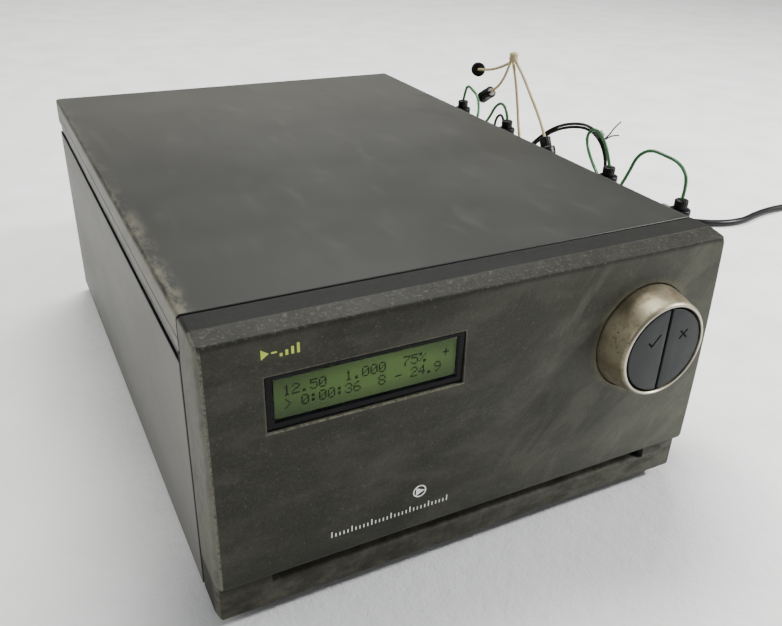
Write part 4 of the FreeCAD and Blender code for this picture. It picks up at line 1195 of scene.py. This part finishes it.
def half_disc(side):
    """The outline of one half of the key disc, in X and Z round the knob's axis."""
    gap = 0.62
    start = math.degrees(math.acos(gap / BUTTON_RADIUS))
    curve = arc((0, 0), BUTTON_RADIUS, -start, start, 40)
    if side < 0:
        curve = [(-x, z) for x, z in reversed(curve)]
    corners = [(KNOB_X + x, KNOB_Z + z) for x, z in curve]
    radii = [0.7] + [0] * (len(corners) - 2) + [0.7]
    return rounded(corners, radii, 4)


def stroke(points, width, y_front, y_back):
    """A slab that follows a bent line at one width."""
    half = width / 2
    left, right = [], []
    for i, point in enumerate(points):
        here = Vector(point)
        before = (here - Vector(points[i - 1])).normalized() if i else None
        after = (Vector(points[i + 1]) - here).normalized() if i + 1 < len(points) else None
        way = ((before or after) + (after or before)).normalized()
        normal = Vector((-way.y, way.x))
        spread = half / max(normal.dot(Vector((-(after or before).y, (after or before).x))), 0.4)
        left.append(here + normal * spread)
        right.append(here - normal * spread)
    outline = left + right[::-1]
    return solid("stroke", *loft([upright(outline, y_back), upright(outline, y_front)]))


def make_buttons():
    """Two half-round keys with an engraved tick and an engraved cross."""
    tick = [[(73.4, 103.4), (75.7, 101.0), (80.2, 106.4)]]
    cross = [[(92.4, 101.4), (96.8, 105.8)], [(92.4, 105.8), (96.8, 101.4)]]
    for name, side, marks in (("ok", -1, tick), ("esc", 1, cross)):
        outline = half_disc(side)
        key = plate(name + "_key", outline, BUTTON_FACE, -10.0, 0.55, 5)
        carve(key, [stroke(mark, 1.05, BUTTON_FACE - 1, BUTTON_FACE + 0.3) for mark in marks])
        soften_shading(key, 40)
        finish(key, "button_grey", name + "_key", replaces=[name + "_button"])
        for i, mark in enumerate(marks, start=1):
            fill = stroke(mark, 1.0, BUTTON_FACE + 0.2 - 0.02 * i, BUTTON_FACE + 0.4)
            fill.name = f"{name}_mark_{i}"
            finish(fill, "button_grey", name + "_key", material="mark_dark")


make_knob()
make_buttons()


# ---------------------------------------------------------------- printed marks


def printed(name, shapes, material):
    """Thin printed shapes that follow the crowned face; each shape is a closed outline in X and Z."""
    points, faces = [], []
    for outline in shapes:
        first, count = len(points), len(outline)
        points += [spot(x, face_y(z) - 0.04, z) for x, z in outline]
        points += [spot(x, face_y(z) + 0.15, z) for x, z in outline]
        faces.append(tuple(first + i for i in range(count)))
        faces.append(tuple(first + count + i for i in reversed(range(count))))
        faces += [(first + i, first + (i + 1) % count, first + count + (i + 1) % count, first + count + i)
                  for i in range(count)]
    piece = solid(name, points, faces, 20)
    finish(piece, "front_moulding", material=material)


def bar(x, z, width, height):
    return [(x, z), (x + width, z), (x + width, z + height), (x, z + height)]


def ring_parts(x, z, outer, inner):
    """A ring as a few curved segments."""
    parts = []
    for i in range(16):
        start, end = 22.5 * i, 22.5 * (i + 1)
        parts.append(arc((x, z), outer, start, end, 2) + arc((x, z), inner, end, start, 2))
    return parts


def make_marks():
    """A plain scale and a ring symbol in white low on the face, and lime marks above the display."""
    ticks = [bar(-78.8 + 1.93 * i, 33.2, 0.55, 3.2 if i % 5 == 0 else 1.9) for i in range(31)]
    symbol = ring_parts(-35.4, 44.0, 3.4, 2.75) + [[(-37.2, 41.9), (-32.7, 44.0), (-37.2, 46.1)]]
    printed("white_marks", ticks + symbol, "mark_white")
    lime = [[(-105.7, 130.3), (-102.6, 132.4), (-105.7, 134.5)], bar(-101.6, 132.1, 2.2, 0.7)]
    lime += [bar(-98.4 + 2.3 * i, 130.3, 1.1, 1.3 + 0.95 * i) for i in range(4)]
    printed("lime_marks", lime, "mark_lime")


make_marks()


# ---------------------------------------------------------------- stage


def make_stage():
    """A pale paper floor with a painted contact shadow close to the front of the case, under three soft
    lights.
    """
    paint = Paint("paper")
    cloud = paint.noise(70, 6, 0.62)
    fibre = paint.noise(9, 6, 0.7)
    # painted shadow: darker paper that glows less close to the front of the case
    contact_shadow_mask = paint.times(paint.step(paint.y, -170.0, -5.0), paint.step(paint.y, 90.0, 5.0))
    contact_shadow_mask = paint.times(contact_shadow_mask, paint.step(paint.math("ABSOLUTE", paint.x), 230.0, 110.0))
    paper = paint.mix(paint.step(cloud, 0.3, 0.7), rgb(232, 232, 229), rgb(247, 247, 244))
    paint.set(
        Base_Color=paint.mix(contact_shadow_mask, paper, rgb(219, 220, 220)),
        Roughness=0.85,
        Emission_Color=(0.95, 0.96, 0.95, 1.0),
        Emission_Strength=paint.step(contact_shadow_mask, 0.0, 1.0, 0.15, 0.02),
        Normal=paint.bump(fibre, 1.6, 0.7),
    )
    corners = [(-6, -4), (6, -4), (6, 10), (-6, 10)]
    mesh = bpy.data.meshes.new("floor")
    mesh.from_pydata([(x, y, FLOOR_Z) for x, y in corners], [], [(0, 1, 2, 3)])
    mesh.materials.append(paint.material)
    add("floor", mesh)
    for name, place, power, width in (
        ("key", (0.4, 0.85, 2.1), 71, 1.1),
        ("fill", (-2.0, -0.05, 1.3), 18, 1.6),
        ("front", (1.25, -0.65, 1.0), 37, 0.22),
    ):
        data = bpy.data.lights.new(name, "AREA")
        data.energy = power
        data.size = width
        lamp = add(name, data)
        lamp.location = place
        lamp.rotation_euler = (-Vector(place)).to_track_quat("-Z", "Y").to_euler()
    world = bpy.data.worlds.new("studio")
    world.use_nodes = True
    world.node_tree.nodes["Background"].inputs["Color"].default_value = (0.92, 0.94, 0.96, 1)
    world.node_tree.nodes["Background"].inputs["Strength"].default_value = 0.28
    bpy.context.scene.world = world


make_stage()
